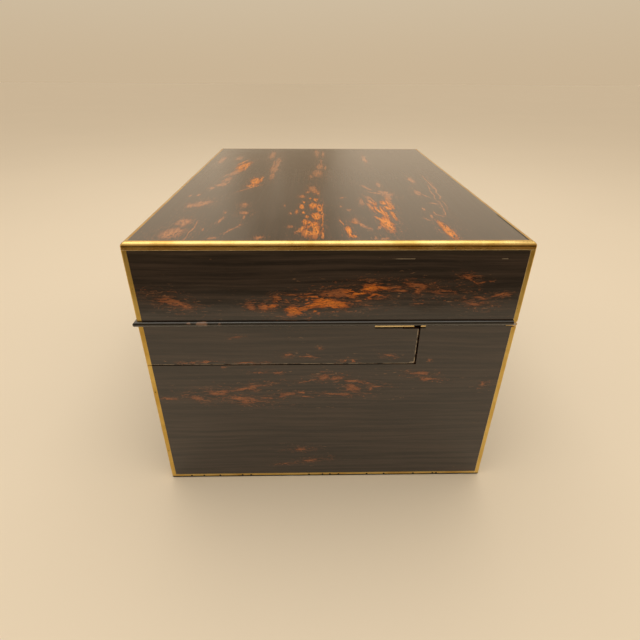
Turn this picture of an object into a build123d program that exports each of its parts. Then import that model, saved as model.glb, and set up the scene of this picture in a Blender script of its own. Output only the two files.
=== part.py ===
"""Jewellery casket: a veneered, brass-edged box with a hinged lid.

The upper front corners of the box are two trays that swing out sideways on centre hinges.
Between them a fixed front tongue carries the lock and a lift-out ring tray. A drawer with a
flush ring pull runs in the base. X runs along the front, the front faces -Y, and Z is up.
The origin is at the centre of the footprint, on the surface that the casket stands on.
"""

from build123d import *
import os

# Overall sizes, in millimetres
body_width = 346.0
body_depth = 250.0
body_height = 200.0
lid_height = 57.0
lid_seat_gap = 0.4
wall = 9.0
inner_wall = 6.0
board = 4.0

# The cut that frees the two swinging trays
wing_height = 31.0
wing_depth = 185.0
wing_floor_gap = 0.5
swing_gap = 1.0
wing_side_gap = 0.5
centre_half = 30.0
notch_round = 1.5
panel_ease = 0.4

# Brass edging, lid bead and foot
edging = 3.4
edging_round = 1.0
lid_edging_height = 5.0
lid_edging_width = 3.8
lid_edging_round = 3.0
mitre_gap = 0.1
bead_height = 3.4
bead_projection = 2.2
bead_inlay = 1.6
bead_round = 1.5
baize = 1.0
foot_clearance = 0.4
foot_round = 0.6
bottom_board = 7.0

# Full-length lid hinge
hinge_radius = 1.6
hinge_pin_radius = 0.8
hinge_leaf = 1.0
hinge_leaf_width = 7.4
hinge_clearance = 0.2
hinge_relief = 0.4
knuckle_count = 17
knuckle_gap = 0.2
end_inset = 0.3
screw_head_radius = 1.5
screw_radius = 0.8
screw_length = 8.0
screw_slot_width = 0.4
screw_slot_depth = 0.3
hinge_screw_count = 8
fit = 0.05

# Centre hinges of the swinging trays
pivot_inset = 3.4
pivot_setback = 7.5
pivot_pin_radius = 1.2
pivot_plate = 2.4
pivot_tongue = 1.1
pivot_tongue_half = 2.4
pivot_leaf = 1.2
pivot_leaf_front = 22.0
pivot_leaf_rear = 4.0
pivot_leaf_width = 6.4
pivot_plate_length = 19.0
pivot_plate_show = 3.2
pivot_plate_width = 7.0
pivot_plate_inset = 1.2
pivot_foot_plate = 1.6
pivot_clearance = 0.3
pivot_swing_clearance = 1.0

# Lock in the front tongue
lock_width = 40.0
lock_height = 25.0
lock_skin = 2.0
lock_depth = 8.0
lock_plate = 1.0
lock_axis_drop = 15.0
barrel_radius = 4.95
barrel_tail_radius = 1.8
barrel_proud = 0.8
key_slot_width = 1.2
key_slot_length = 3.8
escutcheon_radius = 8.5
escutcheon_proud = 1.2
bolt_thickness = 1.6
bolt_height = 4.0
bolt_inner_end = 2.4
bolt_riser = 3.0
bolt_prong = 4.6
bolt_prong_height = 3.0
bolt_throw = 5.0
bolt_clearance = 0.2
bolt_mortice = 7.0
hook_x = 12.8
hook_thickness = 1.6
hook_width = 4.0
hook_length = 9.5
hook_eye_height = 4.2
hook_eye_width = 2.4
hook_clearance = 0.8
link_plate = 1.2
link_plate_length = 36.0
link_plate_width = 5.6
prong_drop = 7.0

# Drawer
drawer_opening_height = 44.0
drawer_stile = 13.0
drawer_clearance = 0.3
drawer_wall = 5.0
drawer_divider = 3.0
drawer_side_height = 36.0
drawer_back_gap = 12.0
drawer_floor = 3.0
drawer_floor_lift = 1.0
guide_height = 10.0
pull_flange_radius = 16.0
pull_flange = 1.0
pull_cup_radius = 12.4
pull_cup_depth = 6.4
pull_cup_wall = 1.0
ring_radius = 8.0
ring_wire = 1.1
ring_lug_width = 2.4
ring_lug_clearance = 0.3
ring_lug_radius = 2.4

# Linings, trays and ring rolls
lining = 1.5
lining_clearance = 0.3
roll_radius = 6.0
roll_pitch = 14.0
wing_roll_count = 6
wing_divider_place = 96.0
wing_divider = 3.0
tray_height = 25.0
tray_wall = 3.0
tray_ledge = 2.0
tray_clearance = 0.4
tray_drop = 1.0
centre_roll_count = 10
rear_divider = 4.0

# Mirror in the lid
mirror_frame_width = 22.0
mirror_frame_thickness = 8.0
mirror_lip = 3.0
mirror_thickness = 3.0
lid_pad = 3.0

# Places worked out from the sizes above
half_width = body_width / 2
back_y = (body_depth + bead_projection) / 2
front_y = back_y - body_depth
lid_z = body_height - lid_height
lid_wall_top = body_height - lid_edging_height
rim_z = lid_z - lid_seat_gap
wing_z = rim_z - wing_height
low_rim_z = wing_z - wing_floor_gap
foot_z = foot_clearance + edging
floor_z = baize + bottom_board
wing_back_y = front_y + wing_depth
cut_y = wing_back_y + swing_gap
inner_x = half_width - wall
inner_front_y = front_y + wall
inner_back_y = back_y - wall
opening_half = half_width - drawer_stile
opening_top_z = floor_z + drawer_opening_height
well_z = opening_top_z + board
wing_inner_x = centre_half + wing_side_gap
hinge_y = back_y - hinge_radius
hinge_z = rim_z + lid_seat_gap / 2
hinge_trench = hinge_radius + hinge_relief
leaf_front_y = back_y - hinge_leaf_width
bead_back_y = back_y - edging - mitre_gap
leaf_back_y = hinge_y - hinge_radius - hinge_clearance
pivot_x = half_width - pivot_inset
pivot_y = wing_back_y - pivot_setback
lock_front_y = front_y + lock_skin
lock_back_y = lock_front_y + lock_depth
lock_mid_y = (lock_front_y + lock_back_y) / 2
lock_axis_z = rim_z - lock_axis_drop
pull_z = floor_z + drawer_opening_height / 2

os.makedirs("parts", exist_ok=True)


def save(piece, name):
    """Label a finished piece and write it under its own name."""
    piece.part.label = name
    export_step(piece.part, f"parts/{name}.step")


def save_pair(piece, name):
    """Write a right-hand piece and its mirror image; name holds {} where the hand goes."""
    save(piece, name.format("right"))
    with BuildPart() as left_hand:
        mirror(piece.part, about=Plane.YZ)
    save(left_hand, name.format("left"))


def block(x, y, z, mode=Mode.ADD):
    """A block between two X, two Y and two Z values."""
    with Locations(((x[0] + x[1]) / 2, (y[0] + y[1]) / 2, (z[0] + z[1]) / 2)):
        Box(x[1] - x[0], y[1] - y[0], z[1] - z[0], mode=mode)


def prism(points, z, mode=Mode.ADD):
    """A plan outline carried from one Z value to another."""
    with BuildSketch(Plane.XY.offset(z[0])) as outline:
        with BuildLine():
            Polyline(*points, close=True)
        make_face()
    extrude(outline.sketch, amount=z[1] - z[0], mode=mode)


def rod_y(x, z, y, radius, mode=Mode.ADD):
    """A round rod or bore along Y."""
    with Locations(Location((x, (y[0] + y[1]) / 2, z), (90, 0, 0))):
        Cylinder(radius, y[1] - y[0], mode=mode)


def rod_z(x, y, z, radius, mode=Mode.ADD):
    """A round rod or bore along Z."""
    with Locations((x, y, (z[0] + z[1]) / 2)):
        Cylinder(radius, z[1] - z[0], mode=mode)


def cone_z(x, y, z, radii, mode=Mode.ADD):
    """A cone along Z, its two radii given from the bottom up."""
    with Locations((x, y, (z[0] + z[1]) / 2)):
        Cone(radii[0], radii[1], z[1] - z[0], mode=mode)


def side_outline(side, outer_grow, depth):
    """Plan outline of one mitred length on a side of the box, outer_grow outside its face."""
    x_out = half_width + outer_grow
    x_in = x_out - depth
    front_out = front_y - outer_grow
    back_out = back_y + outer_grow
    front_in = front_out + depth
    back_in = back_out - depth
    return {
        "front": [(-x_out, front_out), (x_out, front_out), (x_in, front_in), (-x_in, front_in)],
        "back": [(-x_out, back_out), (x_out, back_out), (x_in, back_in), (-x_in, back_in)],
        "right": [(x_out, front_out), (x_out, back_out), (x_in, back_in), (x_in, front_in)],
        "left": [(-x_out, front_out), (-x_out, back_out), (-x_in, back_in), (-x_in, front_in)],
    }[side]


def cut_corner_rebates(y_sides, z):
    """Take the edging's seat out of the upright corners, y_sides -1 for front and 1 for back."""
    for y_side in y_sides:
        corner_y = front_y + edging / 2 if y_side < 0 else back_y - edging / 2
        for x_side in (-1, 1):
            with Locations((x_side * (half_width - edging / 2), corner_y, (z[0] + z[1]) / 2)):
                Box(edging, edging, z[1] - z[0], mode=Mode.SUBTRACT)


def corner_strip(x_side, y_side, z):
    """One upright length of edging, its outer arris rounded."""
    corner_y = front_y + edging / 2 if y_side < 0 else back_y - edging / 2
    outward = Axis((0, 0, 0), (x_side, y_side, 0))
    with BuildSketch(Plane.XY.offset(z[0])) as section:
        with Locations((x_side * (half_width - edging / 2), corner_y)):
            strip = Rectangle(edging, edging)
        fillet(strip.vertices().sort_by(outward)[-1], radius=edging_round)
    extrude(section.sketch, amount=z[1] - z[0])


def cut_mitre(x_side, y_side, depth, z):
    """A hairline cut along the mitre at one corner of the plan, reaching depth to each side."""
    corner = (x_side * half_width, front_y if y_side < 0 else back_y, (z[0] + z[1]) / 2)
    with Locations(Location(corner, (0, 0, 45 * x_side * y_side))):
        Box(4 * depth, mitre_gap, z[1] - z[0], mode=Mode.SUBTRACT)


def round_corners(piece, reach):
    """Round a square ring's corner edges, those within reach of both outer faces."""
    middle_y = (front_y + back_y) / 2
    fillet(
        [
            edge for edge in piece.edges()
            if abs(edge.center().X) > half_width - reach
            and abs(edge.center().Y - middle_y) > body_depth / 2 - reach
        ],
        radius=edging_round,
    )


def edging_lengths(z, width, outer_face, face_round):
    """A square ring of edging round the whole plan, as four lengths that meet in mitres.

    The face at outer_face, -1 for the top and 0 for the bottom, has its outer edge rounded too,
    and the larger of the two radii is rounded first.
    """
    with BuildPart() as lengths:
        block((-half_width, half_width), (front_y, back_y), z)
        if face_round < edging_round:
            round_corners(lengths, width)
        fillet(lengths.faces().sort_by(Axis.Z)[outer_face].edges(), radius=face_round)
        if face_round >= edging_round:
            round_corners(lengths, width)
        block(
            (-half_width + width, half_width - width),
            (front_y + width, back_y - width),
            (z[0] - 1, z[1] + 1),
            mode=Mode.SUBTRACT,
        )
        for x_side in (-1, 1):
            for y_side in (-1, 1):
                cut_mitre(x_side, y_side, width, z)
    return lengths


def hinge_seat(up):
    """Cut the lid hinge's seat, in the base for up = -1 and in the lid for up = 1."""
    face_z = rim_z if up < 0 else lid_z
    leaf_z = sorted((face_z, face_z + up * hinge_leaf))
    trench_z = sorted((face_z, hinge_z + up * hinge_trench))
    full_width = (-half_width - 1, half_width + 1)
    block(full_width, (leaf_front_y, back_y + 1), leaf_z, mode=Mode.SUBTRACT)
    block(full_width, (leaf_back_y, back_y + 1), trench_z, mode=Mode.SUBTRACT)


def hinge_screw_places():
    """X of each screw in a hinge leaf, clear of the two ends."""
    pitch = (body_width - 2 * wall) / hinge_screw_count
    return [(n - (hinge_screw_count - 1) / 2) * pitch for n in range(hinge_screw_count)]


def screw_y():
    """The line of screws, in the middle of the flat of the leaf."""
    return (leaf_front_y + leaf_back_y) / 2


def screw_head(x, up, clearance, mode=Mode.ADD):
    """A countersunk head that narrows to the shank through the leaf, or its seat."""
    face_z = rim_z if up < 0 else lid_z
    radii = [screw_head_radius - clearance, screw_radius + fit - clearance]
    cone_z(x, screw_y(), sorted((face_z, face_z + up * hinge_leaf)), radii[::up], mode=mode)


def hinge_screws(up):
    """Countersunk screws through one hinge leaf, heads in the joint face."""
    face_z = rim_z if up < 0 else lid_z
    with BuildPart() as screws:
        for x in hinge_screw_places():
            screw_head(x, up, fit)
            rod_z(x, screw_y(), sorted((face_z, face_z + up * screw_length)), screw_radius)
            block(
                (x - screw_head_radius, x + screw_head_radius),
                (screw_y() - screw_slot_width / 2, screw_y() + screw_slot_width / 2),
                sorted((face_z, face_z + up * screw_slot_depth)),
                mode=Mode.SUBTRACT,
            )
    return screws


def drill_for_screws(up, in_leaf):
    """Countersunk holes in a leaf, or plain holes in the wood behind it."""
    face_z = rim_z if up < 0 else lid_z
    for x in hinge_screw_places():
        if in_leaf:
            screw_head(x, up, 0, mode=Mode.SUBTRACT)
        else:
            rod_z(x, screw_y(), sorted((face_z, face_z + up * (screw_length + fit))),
                  screw_radius + fit, mode=Mode.SUBTRACT)


def hinge_leaf_part(up):
    """One hinge leaf with its own share of the knuckles along the pin."""
    face_z = rim_z if up < 0 else lid_z
    leaf_z = sorted((face_z, face_z + up * hinge_leaf))
    first = 0 if up < 0 else 1
    length = body_width - 2 * end_inset
    knuckle = (length - (knuckle_count - 1) * knuckle_gap) / knuckle_count
    leaf_half = length / 2 if up < 0 else half_width - bead_inlay
    with BuildPart() as leaf:
        block((-leaf_half, leaf_half), (leaf_front_y, leaf_back_y), leaf_z)
        for n in range(first, knuckle_count, 2):
            start = -length / 2 + n * (knuckle + knuckle_gap)
            middle = start + knuckle / 2
            block((start, start + knuckle), (leaf_back_y, hinge_y), leaf_z)
            with Locations(Location((middle, hinge_y, hinge_z), (0, 90, 0))):
                Cylinder(hinge_radius, knuckle)
        with Locations(Location((0, hinge_y, hinge_z), (0, 90, 0))):
            Cylinder(hinge_pin_radius + fit, body_width, mode=Mode.SUBTRACT)
        drill_for_screws(up, in_leaf=True)
    return leaf


# Base: bottom, walls and brass
with BuildPart() as base_baize:
    block(
        (-half_width + edging + lining_clearance, half_width - edging - lining_clearance),
        (front_y + edging + lining_clearance, back_y - edging - lining_clearance),
        (0, baize),
    )
save(base_baize, "base_baize")

with BuildPart() as base_bottom_panel:
    block(
        (-half_width + edging, half_width - edging), (front_y + edging, back_y - edging), (baize, foot_z)
    )
    block((-inner_x, inner_x), (inner_front_y, inner_back_y), (foot_z, floor_z))
save(base_bottom_panel, "base_bottom_panel")

save(edging_lengths((foot_clearance, foot_z), edging, 0, foot_round), "base_foot_edging")

with BuildPart() as base_front_wall:
    prism(side_outline("front", 0, wall), (foot_z, low_rim_z))
    block((-centre_half, centre_half), (front_y, inner_front_y), (low_rim_z, rim_z))
    block(
        (-opening_half, opening_half),
        (front_y - 1, inner_front_y + 1),
        (floor_z, opening_top_z),
        mode=Mode.SUBTRACT,
    )
    cut_corner_rebates((-1,), (foot_z, low_rim_z))
    block(
        (-lock_width / 2, lock_width / 2),
        (lock_front_y, inner_front_y + 1),
        (rim_z - lock_height, rim_z + 1),
        mode=Mode.SUBTRACT,
    )
    rod_y(0, lock_axis_z, (front_y - 1, lock_front_y + 1), barrel_radius + fit, mode=Mode.SUBTRACT)
    block(
        (-centre_half - 1, centre_half + 1),
        (lock_mid_y - bolt_thickness / 2 - bolt_clearance, lock_mid_y + bolt_thickness / 2 + bolt_clearance),
        (lock_axis_z - bolt_height / 2 - bolt_clearance, lock_axis_z + bolt_height / 2 + bolt_clearance),
        mode=Mode.SUBTRACT,
    )
save(base_front_wall, "base_front_wall")

with BuildPart() as base_back_wall:
    prism(side_outline("back", 0, wall), (foot_z, rim_z))
    cut_corner_rebates((1,), (foot_z, rim_z))
    hinge_seat(-1)
    drill_for_screws(-1, in_leaf=False)
save(base_back_wall, "base_back_wall")


def pivot_plate_seat(grow):
    """Blocks that the fixed upper centre-hinge plate fills, grown by grow on its open sides."""
    plate_z = (rim_z - pivot_plate, rim_z + grow)
    plate_x = half_width - pivot_plate_width
    return [
        ((plate_x, half_width + grow), (cut_y - grow, cut_y + pivot_plate_show), plate_z),
        ((plate_x, half_width - pivot_plate_inset), (cut_y, cut_y + pivot_plate_length), plate_z),
    ]


def foot_plate_seat(z):
    """The lower centre-hinge plate's block, set in from the outer face."""
    return (
        (half_width - pivot_plate_width, half_width - pivot_plate_inset),
        (pivot_y - pivot_leaf_front / 2, pivot_y + pivot_leaf_rear),
        z,
    )


with BuildPart() as base_right_wall:
    with BuildSketch(Plane.YZ.offset(inner_x)):
        with BuildLine():
            Polyline(
                (front_y, foot_z),
                (back_y, foot_z),
                (back_y, rim_z),
                (cut_y, rim_z),
                (cut_y, low_rim_z),
                (front_y, low_rim_z),
                close=True,
            )
        outline = make_face()
        notch = outline.vertices().sort_by_distance((inner_x, cut_y, low_rim_z))[0]
        fillet(notch, radius=notch_round)
    extrude(amount=wall)
    for end_y, inward in ((front_y, 1), (back_y, -1)):
        prism(
            [
                (half_width + 1, end_y - inward),
                (inner_x - 1, end_y - inward),
                (inner_x - 1, end_y + inward * (wall + 1)),
            ],
            (foot_z - 1, rim_z + 1),
            mode=Mode.SUBTRACT,
        )
    cut_corner_rebates((-1, 1), (foot_z, rim_z))
    hinge_seat(-1)
    for seat in pivot_plate_seat(1):
        block(*seat, mode=Mode.SUBTRACT)
    block(*foot_plate_seat((low_rim_z - pivot_foot_plate, low_rim_z + 1)), mode=Mode.SUBTRACT)
save_pair(base_right_wall, "base_{}_wall")

with BuildPart() as base_corner_edging:
    for hand in (-1, 1):
        corner_strip(hand, -1, (foot_z, low_rim_z))
        corner_strip(hand, 1, (foot_z, hinge_z - hinge_trench))
save(base_corner_edging, "base_corner_edging")

# Base: inside boards
with BuildPart() as drawer_guides:
    block((opening_half, inner_x), (inner_front_y, inner_back_y), (floor_z, floor_z + guide_height))
    mirror(about=Plane.YZ)
save(drawer_guides, "drawer_guides")

with BuildPart() as dust_board:
    block((-inner_x, inner_x), (inner_front_y, inner_back_y), (opening_top_z, well_z))
save(dust_board, "dust_board")

with BuildPart() as rear_partitions:
    block(
        (centre_half, centre_half + rear_divider),
        (cut_y + inner_wall + mitre_gap, inner_back_y),
        (well_z, rim_z - hinge_trench),
    )
    mirror(about=Plane.YZ)
    block((-inner_x, inner_x), (cut_y, cut_y + inner_wall), (well_z, rim_z))
save(rear_partitions, "rear_partitions")

with BuildPart() as centre_partitions:
    block((centre_half - inner_wall, centre_half), (inner_front_y, cut_y), (well_z, rim_z))
    block(
        (centre_half - inner_wall - 1, centre_half - inner_wall + tray_ledge),
        (inner_front_y - 1, cut_y + 1),
        (rim_z - tray_drop - tray_height, rim_z + 1),
        mode=Mode.SUBTRACT,
    )
    mirror(about=Plane.YZ)
save(centre_partitions, "centre_partitions")

with BuildPart() as compartment_linings:
    side_x = (centre_half + lining_clearance, inner_x - lining_clearance)
    rear_side_x = (centre_half + rear_divider + lining_clearance, inner_x - lining_clearance)
    well_y = (inner_front_y + lining_clearance, cut_y - lining_clearance)
    rear_y = (cut_y + inner_wall + lining_clearance, inner_back_y - lining_clearance)
    lining_z = (well_z, well_z + lining)
    block(side_x, well_y, lining_z)
    block(rear_side_x, rear_y, lining_z)
    mirror(about=Plane.YZ)
    centre_x = centre_half - inner_wall - lining_clearance
    block((-centre_x, centre_x), well_y, lining_z)
    rear_x = centre_half - lining_clearance
    block((-rear_x, rear_x), rear_y, lining_z)
save(compartment_linings, "compartment_linings")

# Lid hinge
save(hinge_leaf_part(-1), "base_hinge_leaf")
save(hinge_leaf_part(1), "lid_hinge_leaf")
save(hinge_screws(-1), "base_hinge_screws")
save(hinge_screws(1), "lid_hinge_screws")

with BuildPart() as lid_hinge_pin:
    with Locations(Location((0, hinge_y, hinge_z), (0, 90, 0))):
        Cylinder(hinge_pin_radius, body_width - 2 * end_inset)
save(lid_hinge_pin, "lid_hinge_pin")

# Centre hinges: fixed plates with their pins
with BuildPart() as wing_pivot_plates:
    for seat in pivot_plate_seat(0):
        block(*seat)
    tongue_z = (rim_z - pivot_plate, rim_z - pivot_plate + pivot_tongue)
    block((pivot_x - pivot_tongue_half, pivot_x + pivot_tongue_half), (pivot_y, cut_y), tongue_z)
    rod_z(pivot_x, pivot_y, tongue_z, pivot_tongue_half)
    rod_z(pivot_x, pivot_y, (tongue_z[0], rim_z - fit), pivot_pin_radius)
    block(*foot_plate_seat((low_rim_z - pivot_foot_plate, low_rim_z)))
    rod_z(pivot_x, pivot_y, (low_rim_z - pivot_foot_plate, wing_z + pivot_foot_plate), pivot_pin_radius)
    mirror(about=Plane.YZ)
save(wing_pivot_plates, "wing_pivot_plates")

# Lock
with BuildPart() as lock_case:
    case_z = (rim_z - lock_height, rim_z)
    inside_x = lock_width / 2 - lock_plate
    block((-lock_width / 2, lock_width / 2), (lock_front_y, lock_back_y), case_z)
    block(
        (-inside_x, inside_x),
        (lock_front_y + lock_plate, lock_back_y - lock_plate),
        (case_z[0] + lock_plate, case_z[1] - lock_plate),
        mode=Mode.SUBTRACT,
    )
    for hand in (-1, 1):
        hook_mid = hand * hook_x
        reach = hook_thickness / 2 + hook_clearance
        block(
            (hook_mid - reach, hook_mid + reach),
            (lock_mid_y - hook_width / 2 - hook_clearance, lock_mid_y + hook_width / 2 + hook_clearance),
            (rim_z - 2 * lock_plate, rim_z + 1),
            mode=Mode.SUBTRACT,
        )
    block(
        (-lock_width / 2 - 1, lock_width / 2 + 1),
        (lock_mid_y - bolt_thickness / 2 - bolt_clearance, lock_mid_y + bolt_thickness / 2 + bolt_clearance),
        (lock_axis_z - bolt_height / 2 - bolt_clearance, lock_axis_z + bolt_height / 2 + bolt_clearance),
        mode=Mode.SUBTRACT,
    )
    rod_y(0, lock_axis_z, (lock_front_y - 1, lock_front_y + 2 * lock_plate), barrel_radius + fit,
          mode=Mode.SUBTRACT)
save(lock_case, "lock_case")

with BuildPart() as lock_escutcheon:
    rod_y(0, lock_axis_z, (front_y - escutcheon_proud, front_y), escutcheon_radius)
    fillet(lock_escutcheon.faces().sort_by(Axis.Y)[0].edges(), radius=escutcheon_proud / 2)
    rod_y(0, lock_axis_z, (front_y - 2 * escutcheon_proud, front_y + 1), barrel_radius + fit,
          mode=Mode.SUBTRACT)
save(lock_escutcheon, "lock_escutcheon")

with BuildPart() as lock_barrel:
    barrel_y = (front_y - barrel_proud, lock_front_y + 2 * lock_plate)
    rod_y(0, lock_axis_z, barrel_y, barrel_radius)
    chamfer(lock_barrel.faces().sort_by(Axis.Y)[0].edges(), length=panel_ease)
    rod_y(0, lock_axis_z, (barrel_y[1], lock_mid_y + bolt_thickness / 2), barrel_tail_radius)
    rod_y(0, lock_axis_z, (barrel_y[0] - 1, lock_front_y), key_slot_width, mode=Mode.SUBTRACT)
    block(
        (-key_slot_width / 2, key_slot_width / 2),
        (barrel_y[0] - 1, lock_front_y),
        (lock_axis_z - key_slot_length, lock_axis_z),
        mode=Mode.SUBTRACT,
    )
save(lock_barrel, "lock_barrel")

with BuildPart() as lock_bolt:
    bolt_y = (lock_mid_y - bolt_thickness / 2, lock_mid_y + bolt_thickness / 2)
    bar_z = (lock_axis_z - bolt_height / 2, lock_axis_z + bolt_height / 2)
    prong_z = (rim_z - prong_drop - bolt_prong_height / 2, rim_z - prong_drop + bolt_prong_height / 2)
    riser_x = (bolt_inner_end, bolt_inner_end + bolt_riser)
    block((bolt_inner_end, centre_half - bolt_clearance), bolt_y, bar_z)
    block(riser_x, bolt_y, (bar_z[0], prong_z[1]))
    block((riser_x[0], riser_x[1] + bolt_prong), bolt_y, prong_z)
save_pair(lock_bolt, "{}_lock_bolt")

# Lid: walls, top, brass and bead


def lid_wall(side):
    """One mitred lid wall, rebated for the edging, the bead and the hinge."""
    with BuildPart() as lid_side:
        prism(side_outline(side, 0, wall), (lid_z, lid_wall_top))
        cut_corner_rebates((-1,), (lid_z + bead_height, lid_wall_top))
        cut_corner_rebates((1,), (lid_z, lid_wall_top))
        if side == "back":
            drill_for_screws(1, in_leaf=False)
        else:
            for bead_side in ("front", "left", "right"):
                prism(side_outline(bead_side, 1, bead_inlay + 1), (lid_z - 1, lid_z + bead_height),
                      mode=Mode.SUBTRACT)
        hinge_seat(1)
        if side == "front":
            block(*link_plate_seat(), mode=Mode.SUBTRACT)
    return lid_side


def link_plate_seat():
    """The block that the lid's link plate fills."""
    return (
        (-link_plate_length / 2, link_plate_length / 2),
        (lock_mid_y - link_plate_width / 2, lock_mid_y + link_plate_width / 2),
        (lid_z, lid_z + link_plate),
    )


for lid_side_name in ("front", "back", "left", "right"):
    save(lid_wall(lid_side_name), f"lid_{lid_side_name}_wall")

with BuildPart() as lid_top_panel:
    block(
        (-half_width + lid_edging_width, half_width - lid_edging_width),
        (front_y + lid_edging_width, back_y - lid_edging_width),
        (lid_wall_top, body_height),
    )
save(lid_top_panel, "lid_top_panel")

save(edging_lengths((lid_wall_top, body_height), lid_edging_width, -1, lid_edging_round), "lid_top_edging")

with BuildPart() as lid_corner_edging:
    for hand in (-1, 1):
        corner_strip(hand, -1, (lid_z + bead_height, lid_wall_top))
        corner_strip(hand, 1, (hinge_z + hinge_trench, lid_wall_top))
save(lid_corner_edging, "lid_corner_edging")

with BuildPart() as lid_bead_moulding:
    bead_z = (lid_z, lid_z + bead_height)
    bead_x = half_width + bead_projection
    inlay_x = half_width - bead_inlay
    block((-bead_x, bead_x), (front_y - bead_projection, bead_back_y), bead_z)
    outer_faces = lid_bead_moulding.faces().sort_by(Axis.Y)[:1]
    outer_faces += [lid_bead_moulding.faces().sort_by(Axis.X)[0], lid_bead_moulding.faces().sort_by(Axis.X)[-1]]
    long_edges = [edge for face in outer_faces for edge in face.edges().filter_by(Plane.XY)]
    fillet(long_edges, radius=bead_round)
    block((-inlay_x, inlay_x), (front_y + bead_inlay, bead_back_y + 1), (lid_z - 1, bead_z[1] + 1),
          mode=Mode.SUBTRACT)
    for hand in (-1, 1):
        cut_mitre(hand, -1, bead_inlay + bead_projection, bead_z)
save(lid_bead_moulding, "lid_bead_moulding")

with BuildPart() as lock_link_plate:
    block(*link_plate_seat())
    for hand in (-1, 1):
        hook_span = (hand * hook_x - hook_thickness / 2, hand * hook_x + hook_thickness / 2)
        block(hook_span, (lock_mid_y - hook_width / 2, lock_mid_y + hook_width / 2),
              (rim_z - hook_length, lid_z + link_plate))
        block(
            (hook_span[0] - 1, hook_span[1] + 1),
            (lock_mid_y - hook_eye_width / 2, lock_mid_y + hook_eye_width / 2),
            (rim_z - prong_drop - hook_eye_height / 2, rim_z - prong_drop + hook_eye_height / 2),
            mode=Mode.SUBTRACT,
        )
save(lock_link_plate, "lock_link_plate")

# Lid: lining and mirror
pad_z = (lid_wall_top - lid_pad, lid_wall_top)
frame_z = (pad_z[0] - mirror_frame_thickness, pad_z[0])
frame_x = inner_x - lining_clearance
frame_y = (inner_front_y + lining_clearance, inner_back_y - lining_clearance)
glass_x = frame_x - mirror_frame_width
glass_y = (frame_y[0] + mirror_frame_width, frame_y[1] - mirror_frame_width)
glass_z = (frame_z[1] - mirror_thickness, frame_z[1])

with BuildPart() as lid_lining_pad:
    block((-frame_x, frame_x), frame_y, pad_z)
save(lid_lining_pad, "lid_lining_pad")

with BuildPart() as lid_mirror_frame:
    block((-frame_x, frame_x), frame_y, frame_z)
    block((-glass_x, glass_x), glass_y, (glass_z[0], glass_z[1] + 1), mode=Mode.SUBTRACT)
    block(
        (-glass_x + mirror_lip, glass_x - mirror_lip),
        (glass_y[0] + mirror_lip, glass_y[1] - mirror_lip),
        (frame_z[0] - 1, frame_z[1] + 1),
        mode=Mode.SUBTRACT,
    )
    chamfer(lid_mirror_frame.faces().sort_by(Axis.Z)[0].edges(), length=panel_ease)
save(lid_mirror_frame, "lid_mirror_frame")

with BuildPart() as lid_mirror_glass:
    block(
        (-glass_x + lining_clearance, glass_x - lining_clearance),
        (glass_y[0] + lining_clearance, glass_y[1] - lining_clearance),
        glass_z,
    )
save(lid_mirror_glass, "lid_mirror_glass")

# Swinging trays, drawn on the right and mirrored
wing_z_span = (wing_z, rim_z)
wing_floor_z = wing_z + board
wing_inner_face = wing_inner_x + inner_wall
wing_back_face = wing_back_y - inner_wall
divider_y = inner_front_y + wing_divider_place

with BuildPart() as wing_front:
    prism(
        [
            (wing_inner_x, front_y),
            (half_width, front_y),
            (inner_x, inner_front_y),
            (wing_inner_x, inner_front_y),
        ],
        wing_z_span,
    )
    cut_corner_rebates((-1,), (wing_z - 1, rim_z + 1))
    block(
        (wing_inner_x - 1, wing_inner_x + bolt_mortice),
        (lock_mid_y - bolt_thickness / 2 - bolt_clearance, lock_mid_y + bolt_thickness / 2 + bolt_clearance),
        (lock_axis_z - bolt_height / 2 - bolt_clearance, lock_axis_z + bolt_height / 2 + bolt_clearance),
        mode=Mode.SUBTRACT,
    )
save_pair(wing_front, "{}_wing_front")


def wing_leaf_seat(grow):
    """Blocks that the moving upper centre-hinge leaf fills, grown by grow on its open sides."""
    leaf_x = (half_width - pivot_leaf_width, half_width + grow)
    front = pivot_y - pivot_leaf_front
    tongue_clear_y = pivot_y - pivot_tongue_half - pivot_swing_clearance
    return [
        (leaf_x, (front, pivot_y + pivot_leaf_rear), (rim_z - pivot_leaf, rim_z + grow)),
        (leaf_x, (front, tongue_clear_y), (rim_z - pivot_plate, rim_z + grow)),
    ]


with BuildPart() as wing_side:
    with BuildSketch(Plane.YZ.offset(inner_x)):
        with BuildLine():
            Polyline(
                (front_y, wing_z),
                (wing_back_y, wing_z),
                (wing_back_y, rim_z),
                (front_y, rim_z),
                close=True,
            )
        side_face = make_face()
        heel = side_face.vertices().sort_by_distance((inner_x, wing_back_y, wing_z))[0]
        fillet(heel, radius=notch_round)
    extrude(amount=wall)
    cut_edges = wing_side.faces().sort_by(Axis.X)[-1].edges().sort_by(Axis.Z)[:-1]
    chamfer(cut_edges, length=panel_ease)
    prism(
        [
            (half_width + 1, front_y - 1),
            (inner_x - 1, front_y - 1),
            (inner_x - 1, inner_front_y + 1),
        ],
        (wing_z - 1, rim_z + 1),
        mode=Mode.SUBTRACT,
    )
    cut_corner_rebates((-1,), (wing_z - 1, rim_z + 1))
    for seat in wing_leaf_seat(1):
        block(*seat, mode=Mode.SUBTRACT)
    block(
        (pivot_x - pivot_tongue_half - pivot_clearance, half_width + 1),
        (pivot_y - pivot_tongue_half - pivot_swing_clearance, wing_back_y + 1),
        (rim_z - pivot_plate - pivot_clearance, rim_z + 1),
        mode=Mode.SUBTRACT,
    )
    block(*foot_plate_seat((wing_z - 1, wing_z + pivot_foot_plate)), mode=Mode.SUBTRACT)
save_pair(wing_side, "{}_wing_side")

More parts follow.
